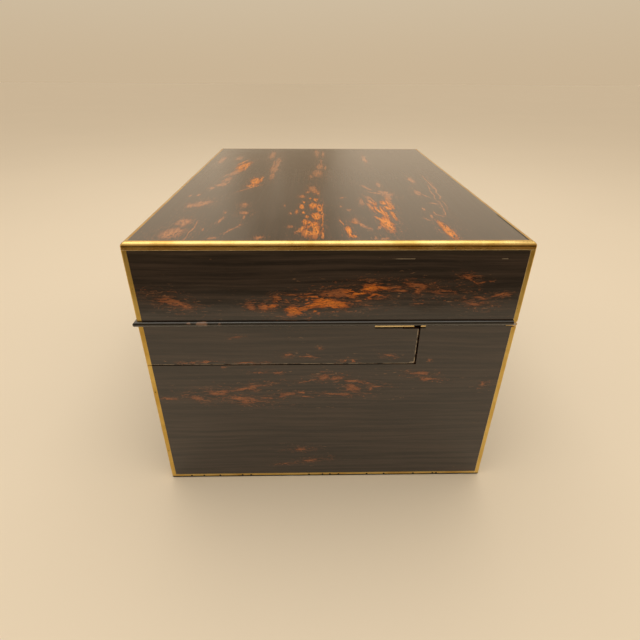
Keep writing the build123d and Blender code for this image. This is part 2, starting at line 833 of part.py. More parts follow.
with BuildPart() as wing_inner_walls:
    inner_z = (wing_floor_z, rim_z)
    block((wing_inner_x, wing_inner_face), (inner_front_y, wing_back_y), inner_z)
    block((wing_inner_face + mitre_gap, inner_x), (wing_back_face, wing_back_y), inner_z)
    block(
        (wing_inner_face + mitre_gap, inner_x),
        (divider_y, divider_y + wing_divider),
        (wing_floor_z, rim_z - roll_radius),
    )
save_pair(wing_inner_walls, "{}_wing_inner_walls")

with BuildPart() as wing_floor:
    block((wing_inner_x, inner_x), (inner_front_y, wing_back_y), (wing_z, wing_floor_z))
save_pair(wing_floor, "{}_wing_floor")

with BuildPart() as wing_corner_edging:
    corner_strip(1, -1, wing_z_span)
save_pair(wing_corner_edging, "{}_wing_corner_edging")

with BuildPart() as wing_pivot_leaves:
    for seat in wing_leaf_seat(0):
        block(*seat)
    block(*foot_plate_seat((wing_z, wing_z + pivot_foot_plate)))
    rod_z(pivot_x, pivot_y, (wing_z - 1, rim_z + 1), pivot_pin_radius + fit, mode=Mode.SUBTRACT)
save_pair(wing_pivot_leaves, "{}_wing_pivot_leaves")

roll_x = (wing_inner_face + lining_clearance, inner_x - lining_clearance)
roll_z = wing_floor_z + lining + roll_radius

with BuildPart() as wing_lining:
    block(roll_x, (inner_front_y + lining_clearance, divider_y - lining_clearance),
          (wing_floor_z, wing_floor_z + lining))
    block(
        roll_x,
        (divider_y + wing_divider + lining_clearance, wing_back_face - lining_clearance),
        (wing_floor_z, wing_floor_z + lining),
    )
save_pair(wing_lining, "{}_wing_lining")


def ring_rolls(x, first_y, count, base_z):
    """Padded rolls side by side, each round above and flat where it lies."""
    with BuildPart() as rolls:
        for n in range(count):
            with BuildSketch(Plane.YZ.offset(x[0])):
                with Locations((first_y + n * roll_pitch, base_z + roll_radius)):
                    Circle(roll_radius)
                with Locations((first_y + n * roll_pitch, base_z + roll_radius / 2)):
                    Rectangle(2 * roll_radius, roll_radius)
            extrude(amount=x[1] - x[0])
    return rolls


wing_roll_span = (wing_roll_count - 1) * roll_pitch
wing_roll_start = (inner_front_y + divider_y - wing_roll_span) / 2
save_pair(
    ring_rolls(roll_x, wing_roll_start, wing_roll_count, wing_floor_z + lining), "{}_wing_ring_rolls"
)

# Lift-out ring tray in the centre
tray_x = centre_half - inner_wall + tray_ledge - tray_clearance
tray_y = (lock_back_y + tray_clearance, cut_y - tray_clearance)
tray_z = (rim_z - tray_drop - tray_height, rim_z - tray_drop)

with BuildPart() as centre_ring_tray:
    block((-tray_x, tray_x), tray_y, tray_z)
    block(
        (-tray_x + tray_wall, tray_x - tray_wall),
        (tray_y[0] + tray_wall, tray_y[1] - tray_wall),
        (tray_z[0] + tray_wall, tray_z[1] + 1),
        mode=Mode.SUBTRACT,
    )
save(centre_ring_tray, "centre_ring_tray")

centre_roll_x = tray_x - tray_wall - lining_clearance
centre_roll_start = (tray_y[0] + tray_y[1] - (centre_roll_count - 1) * roll_pitch) / 2
save(
    ring_rolls(
        (-centre_roll_x, centre_roll_x), centre_roll_start, centre_roll_count, tray_z[0] + tray_wall
    ),
    "centre_ring_rolls",
)

# Drawer
drawer_half = opening_half - drawer_clearance
drawer_z = (floor_z + drawer_clearance, opening_top_z - drawer_clearance)
drawer_box_y = (inner_front_y, inner_back_y - drawer_back_gap)
drawer_floor_z = drawer_z[0] + drawer_floor_lift + drawer_floor
drawer_inside = drawer_half - drawer_wall

with BuildPart() as drawer_front:
    block((-drawer_half, drawer_half), (front_y, inner_front_y), drawer_z)
    chamfer(drawer_front.faces().sort_by(Axis.Y)[0].edges(), length=panel_ease)
    rod_y(0, pull_z, (front_y - 1, front_y + pull_flange), pull_flange_radius, mode=Mode.SUBTRACT)
    rod_y(0, pull_z, (front_y, front_y + pull_cup_depth), pull_cup_radius, mode=Mode.SUBTRACT)
save(drawer_front, "drawer_front")

with BuildPart() as drawer_box:
    side_z = (drawer_z[0], drawer_z[0] + drawer_side_height)
    block((drawer_inside, drawer_half), drawer_box_y, side_z)
    mirror(about=Plane.YZ)
    block((-drawer_inside + mitre_gap, drawer_inside - mitre_gap),
          (drawer_box_y[1] - drawer_wall, drawer_box_y[1]), side_z)
    for hand in (-1, 1):
        divider_x = hand * drawer_inside / 3
        block(
            (divider_x - drawer_divider / 2, divider_x + drawer_divider / 2),
            (drawer_box_y[0] + mitre_gap, drawer_box_y[1] - drawer_wall - mitre_gap),
            (drawer_floor_z, side_z[1] - roll_radius),
        )
save(drawer_box, "drawer_box")

with BuildPart() as drawer_bottom:
    block((-drawer_inside, drawer_inside), (drawer_box_y[0], drawer_box_y[1] - drawer_wall),
          (drawer_floor_z - drawer_floor, drawer_floor_z))
save(drawer_bottom, "drawer_bottom")

with BuildPart() as drawer_lining:
    third = drawer_inside / 3 - drawer_divider / 2 - lining_clearance
    lining_y = (drawer_box_y[0] + lining_clearance, drawer_box_y[1] - drawer_wall - lining_clearance)
    for left, right in (
        (-drawer_inside + lining_clearance, -drawer_inside / 3 - drawer_divider / 2 - lining_clearance),
        (-third, third),
        (drawer_inside / 3 + drawer_divider / 2 + lining_clearance, drawer_inside - lining_clearance),
    ):
        block((left, right), lining_y, (drawer_floor_z, drawer_floor_z + lining))
save(drawer_lining, "drawer_lining")

# Flush ring pull
ring_y = front_y + pull_flange + ring_wire
ring_pivot_z = pull_z + ring_radius

with BuildPart() as drawer_pull_plate:
    rod_y(0, pull_z, (front_y, front_y + pull_flange), pull_flange_radius)
    rod_y(0, pull_z, (front_y, front_y + pull_cup_depth), pull_cup_radius)
    rod_y(0, pull_z, (front_y - 1, front_y + pull_cup_depth - pull_cup_wall),
          pull_cup_radius - pull_cup_wall, mode=Mode.SUBTRACT)
    block(
        (-ring_lug_width / 2, ring_lug_width / 2),
        (front_y, front_y + pull_cup_depth - pull_cup_wall / 2),
        (ring_pivot_z - ring_lug_radius, pull_z + pull_cup_radius - pull_cup_wall / 2),
    )
    with Locations(Location((0, ring_y, ring_pivot_z), (0, 90, 0))):
        Cylinder(ring_wire + ring_lug_clearance, 2 * ring_lug_width, mode=Mode.SUBTRACT)
save(drawer_pull_plate, "drawer_pull_plate")

with BuildPart() as drawer_pull_ring:
    with Locations(Location((0, ring_y, pull_z), (90, 0, 0))):
        Torus(ring_radius, ring_wire)
save(drawer_pull_ring, "drawer_pull_ring")
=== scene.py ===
"""Jewellery casket: black-brown veneer with orange figure, brass edging, velvet and a mirror.

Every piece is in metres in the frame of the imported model. Patches of figure in the veneer are
placed in millimetres on the face that they show on.
"""

import math
import random

import bpy
from mathutils import Matrix, Vector, noise


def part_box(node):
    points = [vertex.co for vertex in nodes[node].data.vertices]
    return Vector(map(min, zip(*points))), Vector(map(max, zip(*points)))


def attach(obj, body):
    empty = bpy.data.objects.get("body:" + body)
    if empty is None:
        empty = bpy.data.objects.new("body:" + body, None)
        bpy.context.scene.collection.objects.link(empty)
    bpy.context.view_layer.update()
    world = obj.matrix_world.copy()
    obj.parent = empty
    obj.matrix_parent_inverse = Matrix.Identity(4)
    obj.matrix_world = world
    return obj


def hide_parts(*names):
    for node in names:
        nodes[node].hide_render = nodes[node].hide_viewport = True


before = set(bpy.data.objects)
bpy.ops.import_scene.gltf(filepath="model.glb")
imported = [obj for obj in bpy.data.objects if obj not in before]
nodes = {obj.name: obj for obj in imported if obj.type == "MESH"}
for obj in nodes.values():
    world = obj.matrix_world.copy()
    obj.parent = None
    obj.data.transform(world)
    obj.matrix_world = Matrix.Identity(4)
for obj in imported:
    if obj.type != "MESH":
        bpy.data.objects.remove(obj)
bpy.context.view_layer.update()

# Sizes taken from the frame
MM = 0.001
end_wall_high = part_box("base_right_wall")[1]
half_width = end_wall_high.x
back_y = end_wall_high.y
rim_z = end_wall_high.z
front_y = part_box("base_front_wall")[0].y
lid_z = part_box("lid_right_wall")[0].z
top_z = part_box("lid_top_panel")[1].z


def scaled(numbers, factor):
    """Each number of a colour or a stretch times a factor."""
    return tuple(factor * number for number in numbers)


class Wiring:
    """Short ways to add and join the nodes of one node tree."""

    def __init__(self, tree):
        self.tree = tree

    def node(self, kind, **settings):
        """Add a node and set its choices."""
        made = self.tree.nodes.new(kind)
        for setting, value in settings.items():
            setattr(made, setting, value)
        return made

    def feed(self, socket, value):
        """Wire a socket to another one, or set its own value."""
        if isinstance(value, bpy.types.NodeSocket):
            self.tree.links.new(value, socket)
        else:
            socket.default_value = value

    def maths(self, operation, *values):
        """A sum, power, least or other number worked out from numbers."""
        made = self.node("ShaderNodeMath", operation=operation)
        for socket, value in zip(made.inputs, values):
            self.feed(socket, value)
        return made.outputs[0]

    def product(self, first, *others):
        """Several numbers multiplied together."""
        for other in others:
            first = self.maths("MULTIPLY", first, other)
        return first

    def vector(self, operation, *values):
        """A vector, or its length, worked out from vectors."""
        made = self.node("ShaderNodeVectorMath", operation=operation)
        for socket, value in zip(made.inputs, values):
            self.feed(socket, value)
        return made.outputs["Value" if operation in ("LENGTH", "DOT_PRODUCT") else "Vector"]

    def split(self, vector):
        """The three parts of a vector."""
        made = self.node("ShaderNodeSeparateXYZ")
        self.feed(made.inputs[0], vector)
        return made.outputs

    def join(self, x, y, z):
        """A vector from three numbers."""
        made = self.node("ShaderNodeCombineXYZ")
        for socket, value in zip(made.inputs, (x, y, z)):
            self.feed(socket, value)
        return made.outputs[0]

    def noise(self, place, scale=1.0, detail=3.0, roughness=0.5, distortion=0.0, colour=False):
        """Soft random variation over a place, as a number or as a colour."""
        made = self.node("ShaderNodeTexNoise")
        self.feed(made.inputs["Vector"], place)
        self.feed(made.inputs["Scale"], scale)
        self.feed(made.inputs["Detail"], detail)
        self.feed(made.inputs["Roughness"], roughness)
        self.feed(made.inputs["Distortion"], distortion)
        return made.outputs["Color" if colour else "Fac"]

    def stretched(self, place, stretch, **settings):
        """Noise over a place that is scaled by its own amount along each axis."""
        return self.noise(self.vector("MULTIPLY", place, stretch), **settings)

    def cells(self, place, scale=1.0):
        """Distance to the nearest of many scattered points."""
        made = self.node("ShaderNodeTexVoronoi")
        self.feed(made.inputs["Vector"], place)
        self.feed(made.inputs["Scale"], scale)
        return made.outputs["Distance"]

    def remap(self, value, low, high, to_low=0.0, to_high=1.0):
        """Ease a number from one span to another."""
        made = self.node("ShaderNodeMapRange", interpolation_type="SMOOTHSTEP")
        for socket, number in zip(made.inputs, (value, low, high, to_low, to_high)):
            self.feed(socket, number)
        return made.outputs[0]

    def fade(self, value, near, far, strength=1.0):
        """Full strength up to the near value, eased away to nothing at the far one."""
        return self.remap(value, near, far, strength, 0.0)

    def inside(self, value, low, high):
        """One between two limits and nothing outside them."""
        return self.maths("COMPARE", value, (low + high) / 2, (high - low) / 2)

    def mix(self, amount, first, second):
        """A colour between two colours."""
        made = self.node("ShaderNodeMix", data_type="RGBA")
        self.feed(made.inputs[0], amount)
        for socket, value in ((made.inputs[6], first), (made.inputs[7], second)):
            self.feed(socket, (*value, 1.0) if isinstance(value, tuple) else value)
        return made.outputs[2]

    def bump(self, height, depth, over=None):
        """A surface normal from a height map whose full range is depth metres deep."""
        made = self.node("ShaderNodeBump")
        self.feed(made.inputs["Height"], height)
        self.feed(made.inputs["Distance"], depth)
        self.feed(made.inputs["Strength"], 1.0)
        if over is not None:
            self.feed(made.inputs["Normal"], over)
        return made.outputs[0]


class Finish(Wiring):
    """One material: its shader, and the place on the object that its nodes start from."""

    def __init__(self, name):
        self.material = bpy.data.materials.new(name)
        self.material.use_nodes = True
        super().__init__(self.material.node_tree)
        self.shader = self.tree.nodes["Principled BSDF"]
        self.place = self.node("ShaderNodeTexCoord").outputs["Object"]

    def away_from(self, x, y, z):
        """Distance to one point of the object."""
        return self.vector("LENGTH", self.vector("SUBTRACT", self.place, (x, y, z)))

    def set(self, **values):
        """Set or wire the shader's inputs, whose names are given with underscores."""
        for key, value in values.items():
            title = key.replace("_", " ").title().replace("Ior", "IOR")
            self.feed(self.shader.inputs[title], value)


# Faces of the box: the axes along the grain, across it and into the depth, the place of the face on
# the last of them, and the way from there into the wood
FACES = {
    "right": ("Y", "Z", "X", half_width, -1),
    "left": ("Y", "Z", "X", -half_width, 1),
    "front": ("X", "Z", "Y", front_y, 1),
    "back": ("X", "Z", "Y", back_y, -1),
    "top": ("X", "Y", "Z", top_z, -1),
}
veneer_thickness = 0.9 * MM
grain_depth = 0.012 * MM
ripple_depth = 0.16 * MM

# How far, in mm, slow and quick noise push the figure along the grain and across it
drift_reach = (8.0, 4.0, 0.0)
shiver_reach = (5.0, 2.0, 0.0)

# Half the breadth of the seam in mm, the shift of the second leaf's grain, a distance past every
# stroke, how often the threads curl, and how bright the figure is where no bright place is given
seam_half_width = 0.14
leaf_shift = 7.3
far_off = 9.0
curls = 9.0
plain_shine = 0.3

# Strokes of orange figure, each as (along the grain, across it, half length, half width in mm,
# turn in degrees), and the dark eyes inside them
end_strokes = [
    (-98, 160, 8, 2.6, -16), (-91, 157.5, 4, 2, -10), (-50, 159, 3, 1.2, 0), (-48, 156.5, 2.5, 1.2, -20),
    (-41, 157, 2.8, 2, 0), (-36, 157.5, 3, 1.1, 0), (-33, 162, 2.2, 2, 30), (-22, 153.5, 6, 4.2, 8),
    (-13, 156.5, 6, 1.8, 12), (3, 158.5, 12, 2.8, 0), (5, 166.5, 11, 2.4, 8), (27, 169.6, 6, 3, 5),
    (-3, 161.2, 8, 1.9, 4), (11, 164.6, 7, 1.7, 4), (38, 169.8, 9, 1.2, 0), (16, 168.6, 7, 1.4, 4),
    (-8, 158.2, 6, 1.8, 12), (45, 167.4, 6, 0.6, 0),
    (18, 166, 4.5, 0.7, 0), (-7, 154, 1.5, 0.9, 10), (19, 161.5, 2.2, 0.9, 0), (31, 163.6, 5, 1.6, 0),
    (57, 171, 6.2, 2, -6), (57, 168, 1.4, 2.4, 0), (74, 167, 6.2, 1.8, 0), (87.5, 177, 3.6, 1.4, -8),
    (92, 173.5, 3.4, 0.5, -38), (97, 172.8, 3.4, 0.5, 12), (94, 159.5, 6.2, 2.2, -6),
    (98, 163, 3.2, 1.3, -12), (112, 165, 5, 0.9, 0), (59, 159, 2.5, 0.7, 0), (-19, 165.5, 9, 0.6, 4),
    (-12, 163.5, 7, 0.5, -3),
    (-97, 113.6, 5, 0.5, 0), (-83, 113.6, 5, 0.5, 0), (-56, 113.6, 5, 0.6, 0), (-42, 113.4, 4, 0.5, 0),
    (-71, 110, 1.6, 0.4, 0), (-26, 120, 2, 1, 0), (-11.5, 118.5, 3.4, 0.7, 0), (-5, 125, 0.9, 0.8, 0),
    (-60, 134, 2.5, 0.7, 10), (12, 114.4, 2, 0.8, 30), (18, 114.6, 2, 0.9, -30), (42, 118, 3, 0.7, -8),
    (-77, 87.5, 6.5, 2.4, 0), (-57, 91, 13.5, 1.1, 12), (-53, 91.5, 3.6, 2, 10), (-60, 81, 12, 1.6, -7),
    (-57, 80, 5, 2.3, -4), (-93, 83, 5.4, 1.8, -18), (-42, 82, 4, 1.3, 0), (-28, 85, 5, 1.7, 6),
    (-18, 87, 3, 1.1, 0), (-14, 83, 4, 0.5, 0), (-12, 97.5, 6, 0.6, 12), (-2.5, 100.5, 3, 1.9, 0),
    (7, 100, 5.5, 1.4, -2), (21, 96.5, 10, 1.1, -8), (19, 90, 4.2, 2.4, -30), (7, 85, 10, 0.9, -4),
    (35, 92, 5, 0.7, -8), (31, 90, 1.1, 1.9, 0), (65, 103, 6, 1.3, -4), (71, 98.5, 6, 1.2, -6),
    (71, 114, 1.3, 0.7, 0), (112, 93.5, 2.4, 1.5, 20), (-19, 30.5, 4.6, 1.4, 0), (-10, 18.5, 6, 1.4, 6),
    (-31, 14.5, 6, 0.5, 4), (-113, 82, 5.5, 0.7, 0), (-47, 105.5, 4, 0.7, 0), (-35, 104.5, 3, 0.7, 0),
]
end_eyes = [
    (18, 169.2, 3.6, 1.8, 0), (9, 163, 4, 1.5, -4), (31, 163.6, 3.8, 0.8, 0), (76, 166.4, 4, 0.9, 0),
    (94, 160.3, 4.4, 1.1, -4), (-64, 86, 5.5, 1.5, -4),
]
top_strokes = [
    (-92, -108, 17, 2.2, 0), (-60, -80, 18, 3.6, -12), (-27, -84, 15, 3.4, -12), (-74, -46, 28, 2.4, 0),
    (-78, -84, 14, 1.3, -12), (-48, -76, 12, 1.2, 0), (-103, -91, 9, 3, 0), (-124, -55, 20, 2.8, 0),
    (-66, -50, 18, 0.8, 0), (-40, -47.5, 17, 2.8, 0), (31, -62.5, 5.5, 3, 0), (-134, -3, 22, 2.4, 0),
    (-130, 4, 16, 1.2, 0), (-55, -1, 13, 2.8, 0), (-48, 4, 10, 0.8, 0), (-98, 50, 18, 1.8, 0),
    (-9, -47, 11, 2, 0), (12, -60, 12, 3.4, 0), (3, -55, 9, 0.9, 0), (37, -62, 12.5, 1, -34),
    (25, -89, 7, 3.2, -12), (38, -95, 3.5, 1.7, 0), (5, -87, 8, 3, -12), (87, -93, 8, 4.4, -25),
    (93, -100.5, 5, 2.2, 0), (-14, -91, 9, 0.8, -12), (14, -84, 7, 0.7, 0), (-84, 1, 12, 0.8, 0),
    (64, -107, 3, 1, 0), (61, -100.5, 3, 1, 0), (92, -60.5, 4.5, 2.2, 0), (111.5, -58, 4, 2.9, 0),
    (110, -71.5, 2.7, 0.8, 0), (128.5, -71.5, 6, 0.9, -12), (123, -56, 3.8, 0.7, 0),
    (139, -57.5, 1.9, 0.7, 0), (149, -61, 6.6, 0.8, -25), (134, -95, 7, 4, 0), (156, -97, 8, 6, -20),
    (150, -86.5, 17, 0.4, 0),
    (149, -79, 1.8, 0.7, 0), (165, -71, 2, 2, 0), (165, -42, 2.4, 2.2, 0), (93, -30, 2.8, 0.7, 0),
    (113, -24.4, 3.2, 0.9, 0), (108, -20, 4.4, 0.6, 0), (96, -17, 4.6, 1.6, 0), (93, -9, 6, 2.1, 0),
    (99, -3.9, 9, 1.9, 0), (120, -7, 6, 2.8, 0), (133, -15, 4.8, 1.4, 0), (133, -12, 2.8, 0.9, 0),
    (149, -8.6, 14, 3.4, 0), (156, -13, 6.5, 2.6, 0), (149, -17, 8, 1.4, -18), (143, -23.7, 2.3, 1.3, 0),
    (122, -2.7, 24, 0.5, 0), (160, -3.4, 6, 0.5, 0), (51, -12.4, 3.4, 1.2, 0), (51.5, -6.5, 3.8, 1.8, 0),
    (56, -4, 7, 1.0, 0), (41, -8.5, 8, 2.6, 0), (-22, -4, 13, 4.4, 0), (66, -17, 3.3, 2, 0),
    (157, -7, 4, 1.6, 0), (112, -16, 2.2, 0.9, 0), (121, -13.5, 2.4, 1, 0), (76, -6.5, 4, 1.3, 0),
    (72, -11, 2.6, 0.9, 0), (84, -15.5, 2.4, 0.8, 0), (70, 51, 8, 2.1, 0), (-8, -11, 7, 1.2, 0),
    (37, 37.5, 8.5, 1.5, 23), (55, 43, 7, 1.2, 50), (56, 51, 8, 4, 20), (27, 49, 6.8, 1.7, 0),
    (77, 36, 12, 2, 8), (82, 29, 7, 1.3, 0), (96, 34, 11, 1.4, 8), (84, 45.3, 4.2, 2.2, 0),
    (89, 50, 11, 1.8, 0), (100, 46, 4, 2.5, 0), (107, 39, 12, 0.8, 8), (108, 41.3, 12, 0.7, 0),
    (116, 43, 8, 1.1, 0), (138, 40.5, 14, 3, 0), (127, 37.5, 5, 1.1, 30), (146, 35.3, 5, 1.1, -30),
    (119, 48, 9, 1.3, 8), (166, 35, 2.4, 2.3, 0), (165, 29, 2.2, 0.9, 0), (131, 19.5, 5, 2.3, 0),
    (142, 24.4, 8, 0.9, 25), (150, 14, 6, 1.8, 0), (159, 13.4, 3.8, 0.9, 0), (163, 16, 2.8, 1.2, 0),
    (133, 10.3, 5.6, 0.6, 8), (105, 17.3, 2, 1.3, 0), (96, 12, 2.2, 0.9, 0), (71, 14, 1.8, 1.6, 0),
    (18, 95.5, 22, 0.5, -1), (60, 94, 34, 0.5, -5), (52, 90.5, 28, 0.4, -6), (98, 87, 20, 0.4, -6),
    (61, 82, 7, 0.9, 20), (88, 84, 3, 1.4, 60), (118, 80, 3.6, 1.1, 40), (151, 77.4, 16, 2.5, 4),
    (53, 78, 7, 2.2, 0), (8, 82, 10, 1.7, 0), (100, 72, 3, 0.6, 0), (121, 74, 3, 0.7, 0),
    (128, 70, 3, 0.7, 30), (134, 76, 3, 0.7, -20), (112, 78, 3, 0.5, 0),
]
top_eyes = [(148, -10.6, 5, 1.7, 0), (98, -3.7, 4, 0.8, 0), (140, 77.8, 2.4, 0.7, 0), (77, 36.4, 5, 0.6, 8)]

# Places where the figure is brightest, given in the same way
end_glow = [(-10, 157, 30, 8, 0), (24, 168, 14, 6, 0)]
top_glow = [
    (112, -8, 62, 15, 0), (150, 14, 22, 9, 0), (112, 43, 50, 11, 0), (151, 77, 24, 8, 0),
    (10, -61, 26, 9, 0), (-60, -80, 30, 8, 0),
]

# The seam between the top's two leaves, its open joint, and pale lines on the arrises of the end,
# painted highlight that is partly rubbed wear, in mm
top_joint = -2.0
top_gaps = [(116, 169.2, 121.2, 122.3)]
end_highlight_lines = [
    (39, 53, 189.3, 189.6), (106, 110, 189.2, 189.5), (-122, 61, 111.6, 112.3),
    (60.3, 61.1, 112.3, 139.5), (57.5, 61.1, 111.6, 113.4),
]


def scattered(seed, half_span, bands):
    """Strokes gathered in drifts along the grain, each band given as (height, spread, drifts)."""
    chance = random.Random(seed)
    drift_length = 12.0
    drift_breadth = 3.4
    strokes = []
    for height, spread, drifts in bands:
        for drift in range(drifts):
            middle = half_span * (2 * (drift + chance.uniform(0.15, 0.85)) / drifts - 1)
            level = chance.gauss(height, spread)
            for _ in range(chance.randint(4, 8)):
                half_length = chance.choice((2.0, 4.0, 6.5, 9.0, 12.0))
                half_width = half_length * chance.uniform(0.10, 0.32) + 0.4
                along = chance.gauss(middle, drift_length)
                across = chance.gauss(level, drift_breadth)
                turn = chance.choice((-14, -6, 0, 6, 14))
                strokes.append((along, across, half_length, half_width, turn))
    return strokes


# Colours of the veneer
wood_deep = (0.0125, 0.0086, 0.0068)
wood_light = (0.042, 0.0280, 0.0212)
wood_line = (0.050, 0.031, 0.020)
wood_beside_figure = (0.0055, 0.0038, 0.0030)
dull_orange = ((0.190, 0.058, 0.018), (0.46, 0.165, 0.048))
bright_orange = ((0.54, 0.135, 0.015), (0.96, 0.320, 0.034))
orange_fibre = (0.130, 0.034, 0.010)
crack_brown = (0.030, 0.013, 0.007)
smear_brown = (0.082, 0.034, 0.015)
thread_tan = (0.24, 0.105, 0.045)
dash_tan = (0.30, 0.150, 0.070)
speck_tan = (0.34, 0.155, 0.062)
seam_black = (0.004, 0.003, 0.002)
gap_black = (0.003, 0.002, 0.0015)
highlight_tan = (0.36, 0.29, 0.21)
core_dark = (0.085, 0.030, 0.014)
core_light = (0.200, 0.082, 0.038)


def veneer(name, face, strokes, seed, eyes=(), glow=(), highlight_spans=(), joint=None, gaps=(),
           sway=15.0, fray=1.0, swell=0.0, fullness=0.45, cracked=0.85, bitten=0.57):
    """Polished black-brown veneer with orange figure, over a core of plain red-brown timber.

    glow holds the places where the figure is brightest, given like strokes. highlight_spans holds pale
    lines along arrises, a painted highlight that is partly rubbed wear, and gaps dark open joints, each as
    its span along the grain and its span across it, in mm. joint is the place across the grain where
    two leaves of veneer meet. sway is how far the grain wanders, in mm. fray roughens a stroke's edge
    and swell widens the stroke. fullness is how much of its lighter colour shows, cracked how dark its
    cracks are, and bitten the level of noise above which pieces are bitten out of it.
    """
    along_axis, across_axis, depth_axis, outside, inward = FACES[face]
    made = Finish(name)
    axes = made.split(made.place)
    along = made.product(axes[along_axis], 1 / MM)
    across = made.product(axes[across_axis], 1 / MM)
    leaf = seed
    if joint is not None:
        leaf = made.maths("MULTIPLY_ADD", made.maths("GREATER_THAN", across, joint), leaf_shift, seed)
    flat = made.join(along, across, leaf)

    # The grain wanders slowly, and the figure is pulled out along it
    wander = made.stretched(flat, (0.011, 0.016, 1.0), detail=2.0)
    grain_place = made.join(along, made.maths("MULTIPLY_ADD", wander, sway, across), leaf)
    streaks = made.stretched(grain_place, (0.012, 0.42, 1.0), detail=6.0, roughness=0.62)
    lines = made.stretched(grain_place, (0.045, 2.2, 1.0), detail=4.0, roughness=0.65)
    drift = made.stretched(flat, (0.06, 0.14, 1.0), detail=1.0, colour=True)
    shiver = made.stretched(flat, (0.30, 0.80, 1.0), detail=3.0, roughness=0.6, colour=True)
    moved = made.vector("MULTIPLY_ADD", drift, drift_reach, flat)
    moved = made.vector("MULTIPLY_ADD", shiver, shiver_reach, moved)
    half_moves = tuple(-(slow + quick) / 2 for slow, quick in zip(drift_reach, shiver_reach))
    stroke_place = made.vector("MULTIPLY_ADD", moved, (1.0, 1.0, 0.0), half_moves)

    def nearest_of(spots):
        """Distance to the nearest placed stroke, in units of that stroke's own size."""
        nearest = far_off
        for turn in sorted({spot[4] for spot in spots}):
            cosine = math.cos(math.radians(turn))
            sine = math.sin(math.radians(turn))
            turned_along = made.vector("DOT_PRODUCT", stroke_place, (cosine, sine, 0.0))
            turned_across = made.vector("DOT_PRODUCT", stroke_place, (-sine, cosine, 0.0))
            turned = made.join(turned_along, turned_across, 0.0)
            alike = [spot for spot in spots if spot[4] == turn]
            for spot_along, spot_across, half_length, half_width, _ in alike:
                middle_along = cosine * spot_along + sine * spot_across
                middle_across = cosine * spot_across - sine * spot_along
                from_middle = made.vector(
                    "MULTIPLY_ADD", turned, (1 / half_length, 1 / half_width, 0.0),
                    (-middle_along / half_length, -middle_across / half_width, 0.0),
                )
                nearest = made.maths("MINIMUM", nearest, made.vector("LENGTH", from_middle))
        return nearest

    def roughened(distance, rough, amount, widened=0.0):
        """A distance made uneven by noise, by half the amount either way."""
        lowered = made.maths("SUBTRACT", distance, amount / 2 + widened)
        return made.maths("MULTIPLY_ADD", rough, amount, lowered)

    # Orange figure: frayed, combed along the grain, hollow at its eyes and bitten into
    reach = nearest_of(strokes)
    frays = made.stretched(moved, (0.16, 0.95, 1.0), detail=4.0, roughness=0.62)
    flecks = made.stretched(grain_place, (0.13, 0.75, 1.0), detail=5.0, roughness=0.72)
    comb = made.stretched(moved, (0.08, 2.6, 1.0), detail=3.0, roughness=0.6)
    edge = roughened(reach, frays, 1.9 * fray, swell)
    edge = roughened(edge, comb, 1.2)
    if eyes:
        hollow = roughened(nearest_of(eyes), frays, 0.8)
        edge = made.maths("MAXIMUM", edge, made.maths("SUBTRACT", 2.0, hollow))
    bites = made.stretched(moved, (0.20, 0.62, 1.0), detail=2.0, roughness=0.6)
    edge = made.maths("MAXIMUM", edge, made.remap(bites, bitten, bitten + 0.09, 0.0, 1.3))
    flame = made.fade(edge, 0.86, 1.14)
    thick = made.product(made.fade(edge, 0.35, 1.0), fullness)
    halo = made.fade(reach, 1.1, 2.4)

    # Thin curling threads that follow the figure, and loose flecks
    curl = made.stretched(moved, (0.055, 0.26, 1.0), detail=1.0)
    curl_phase = made.maths("FRACT", made.product(curl, curls))
    curl_line = made.maths("ABSOLUTE", made.maths("SUBTRACT", curl_phase, 0.5))
    threads = made.product(made.fade(curl_line, 0.03, 0.13), made.fade(reach, 1.6, 4.2))
    threads = made.product(threads, made.remap(flecks, 0.46, 0.58, 0.0, 0.95))
    smear = made.product(made.fade(reach, 1.0, 3.2, 0.75), made.remap(flecks, 0.42, 0.60))
    dashes = made.cells(made.vector("MULTIPLY", moved, (0.11, 0.85, 1.0)))
    dashes = made.product(made.fade(dashes, 0.10, 0.22, 0.6), made.fade(reach, 3.0, 8.0))
    dashes = made.product(dashes, made.remap(comb, 0.48, 0.60))
    crumbs = made.cells(made.vector("MULTIPLY", moved, (0.34, 0.62, 1.0)))
    crumbs = made.product(made.fade(crumbs, 0.18, 0.32), made.fade(reach, 2.0, 4.6))
    crumbs = made.product(crumbs, made.remap(flecks, 0.47, 0.54))
    specks = made.maths("MULTIPLY_ADD", flecks, 0.5, made.product(frays, 0.5))
    specks = made.remap(specks, 0.650, 0.700)

    # Colours, laid over one another from the dark wood up to the specks
    dark = made.mix(made.remap(streaks, 0.35, 0.70), wood_deep, wood_light)
    dark = made.mix(made.remap(lines, 0.50, 0.76, 0.0, 0.6), dark, wood_line)
    dark = made.mix(made.product(halo, 0.55), dark, wood_beside_figure)
    shine = made.fade(nearest_of(glow), 0.55, 1.25) if glow else plain_shine
    orange = made.mix(shine, made.mix(thick, *dull_orange), made.mix(thick, *bright_orange))
    orange = made.mix(made.fade(comb, 0.40, 0.56, 0.65), orange, orange_fibre)
    cracks = made.stretched(moved, (0.09, 0.72, 1.0), detail=2.0, distortion=0.6)
    crack_line = made.maths("ABSOLUTE", made.maths("SUBTRACT", cracks, 0.5))
    orange = made.mix(made.fade(crack_line, 0.008, 0.040, cracked), orange, crack_brown)
    skin = made.mix(smear, dark, smear_brown)
    skin = made.mix(threads, skin, made.mix(0.5, orange, thread_tan))
    skin = made.mix(dashes, skin, dash_tan)
    skin = made.mix(made.maths("MAXIMUM", flame, crumbs), skin, orange)
    skin = made.mix(made.product(specks, 0.5), skin, speck_tan)
    if joint is not None:
        seam = made.maths("COMPARE", across, joint, seam_half_width)
        skin = made.mix(made.product(seam, 0.75), skin, seam_black)

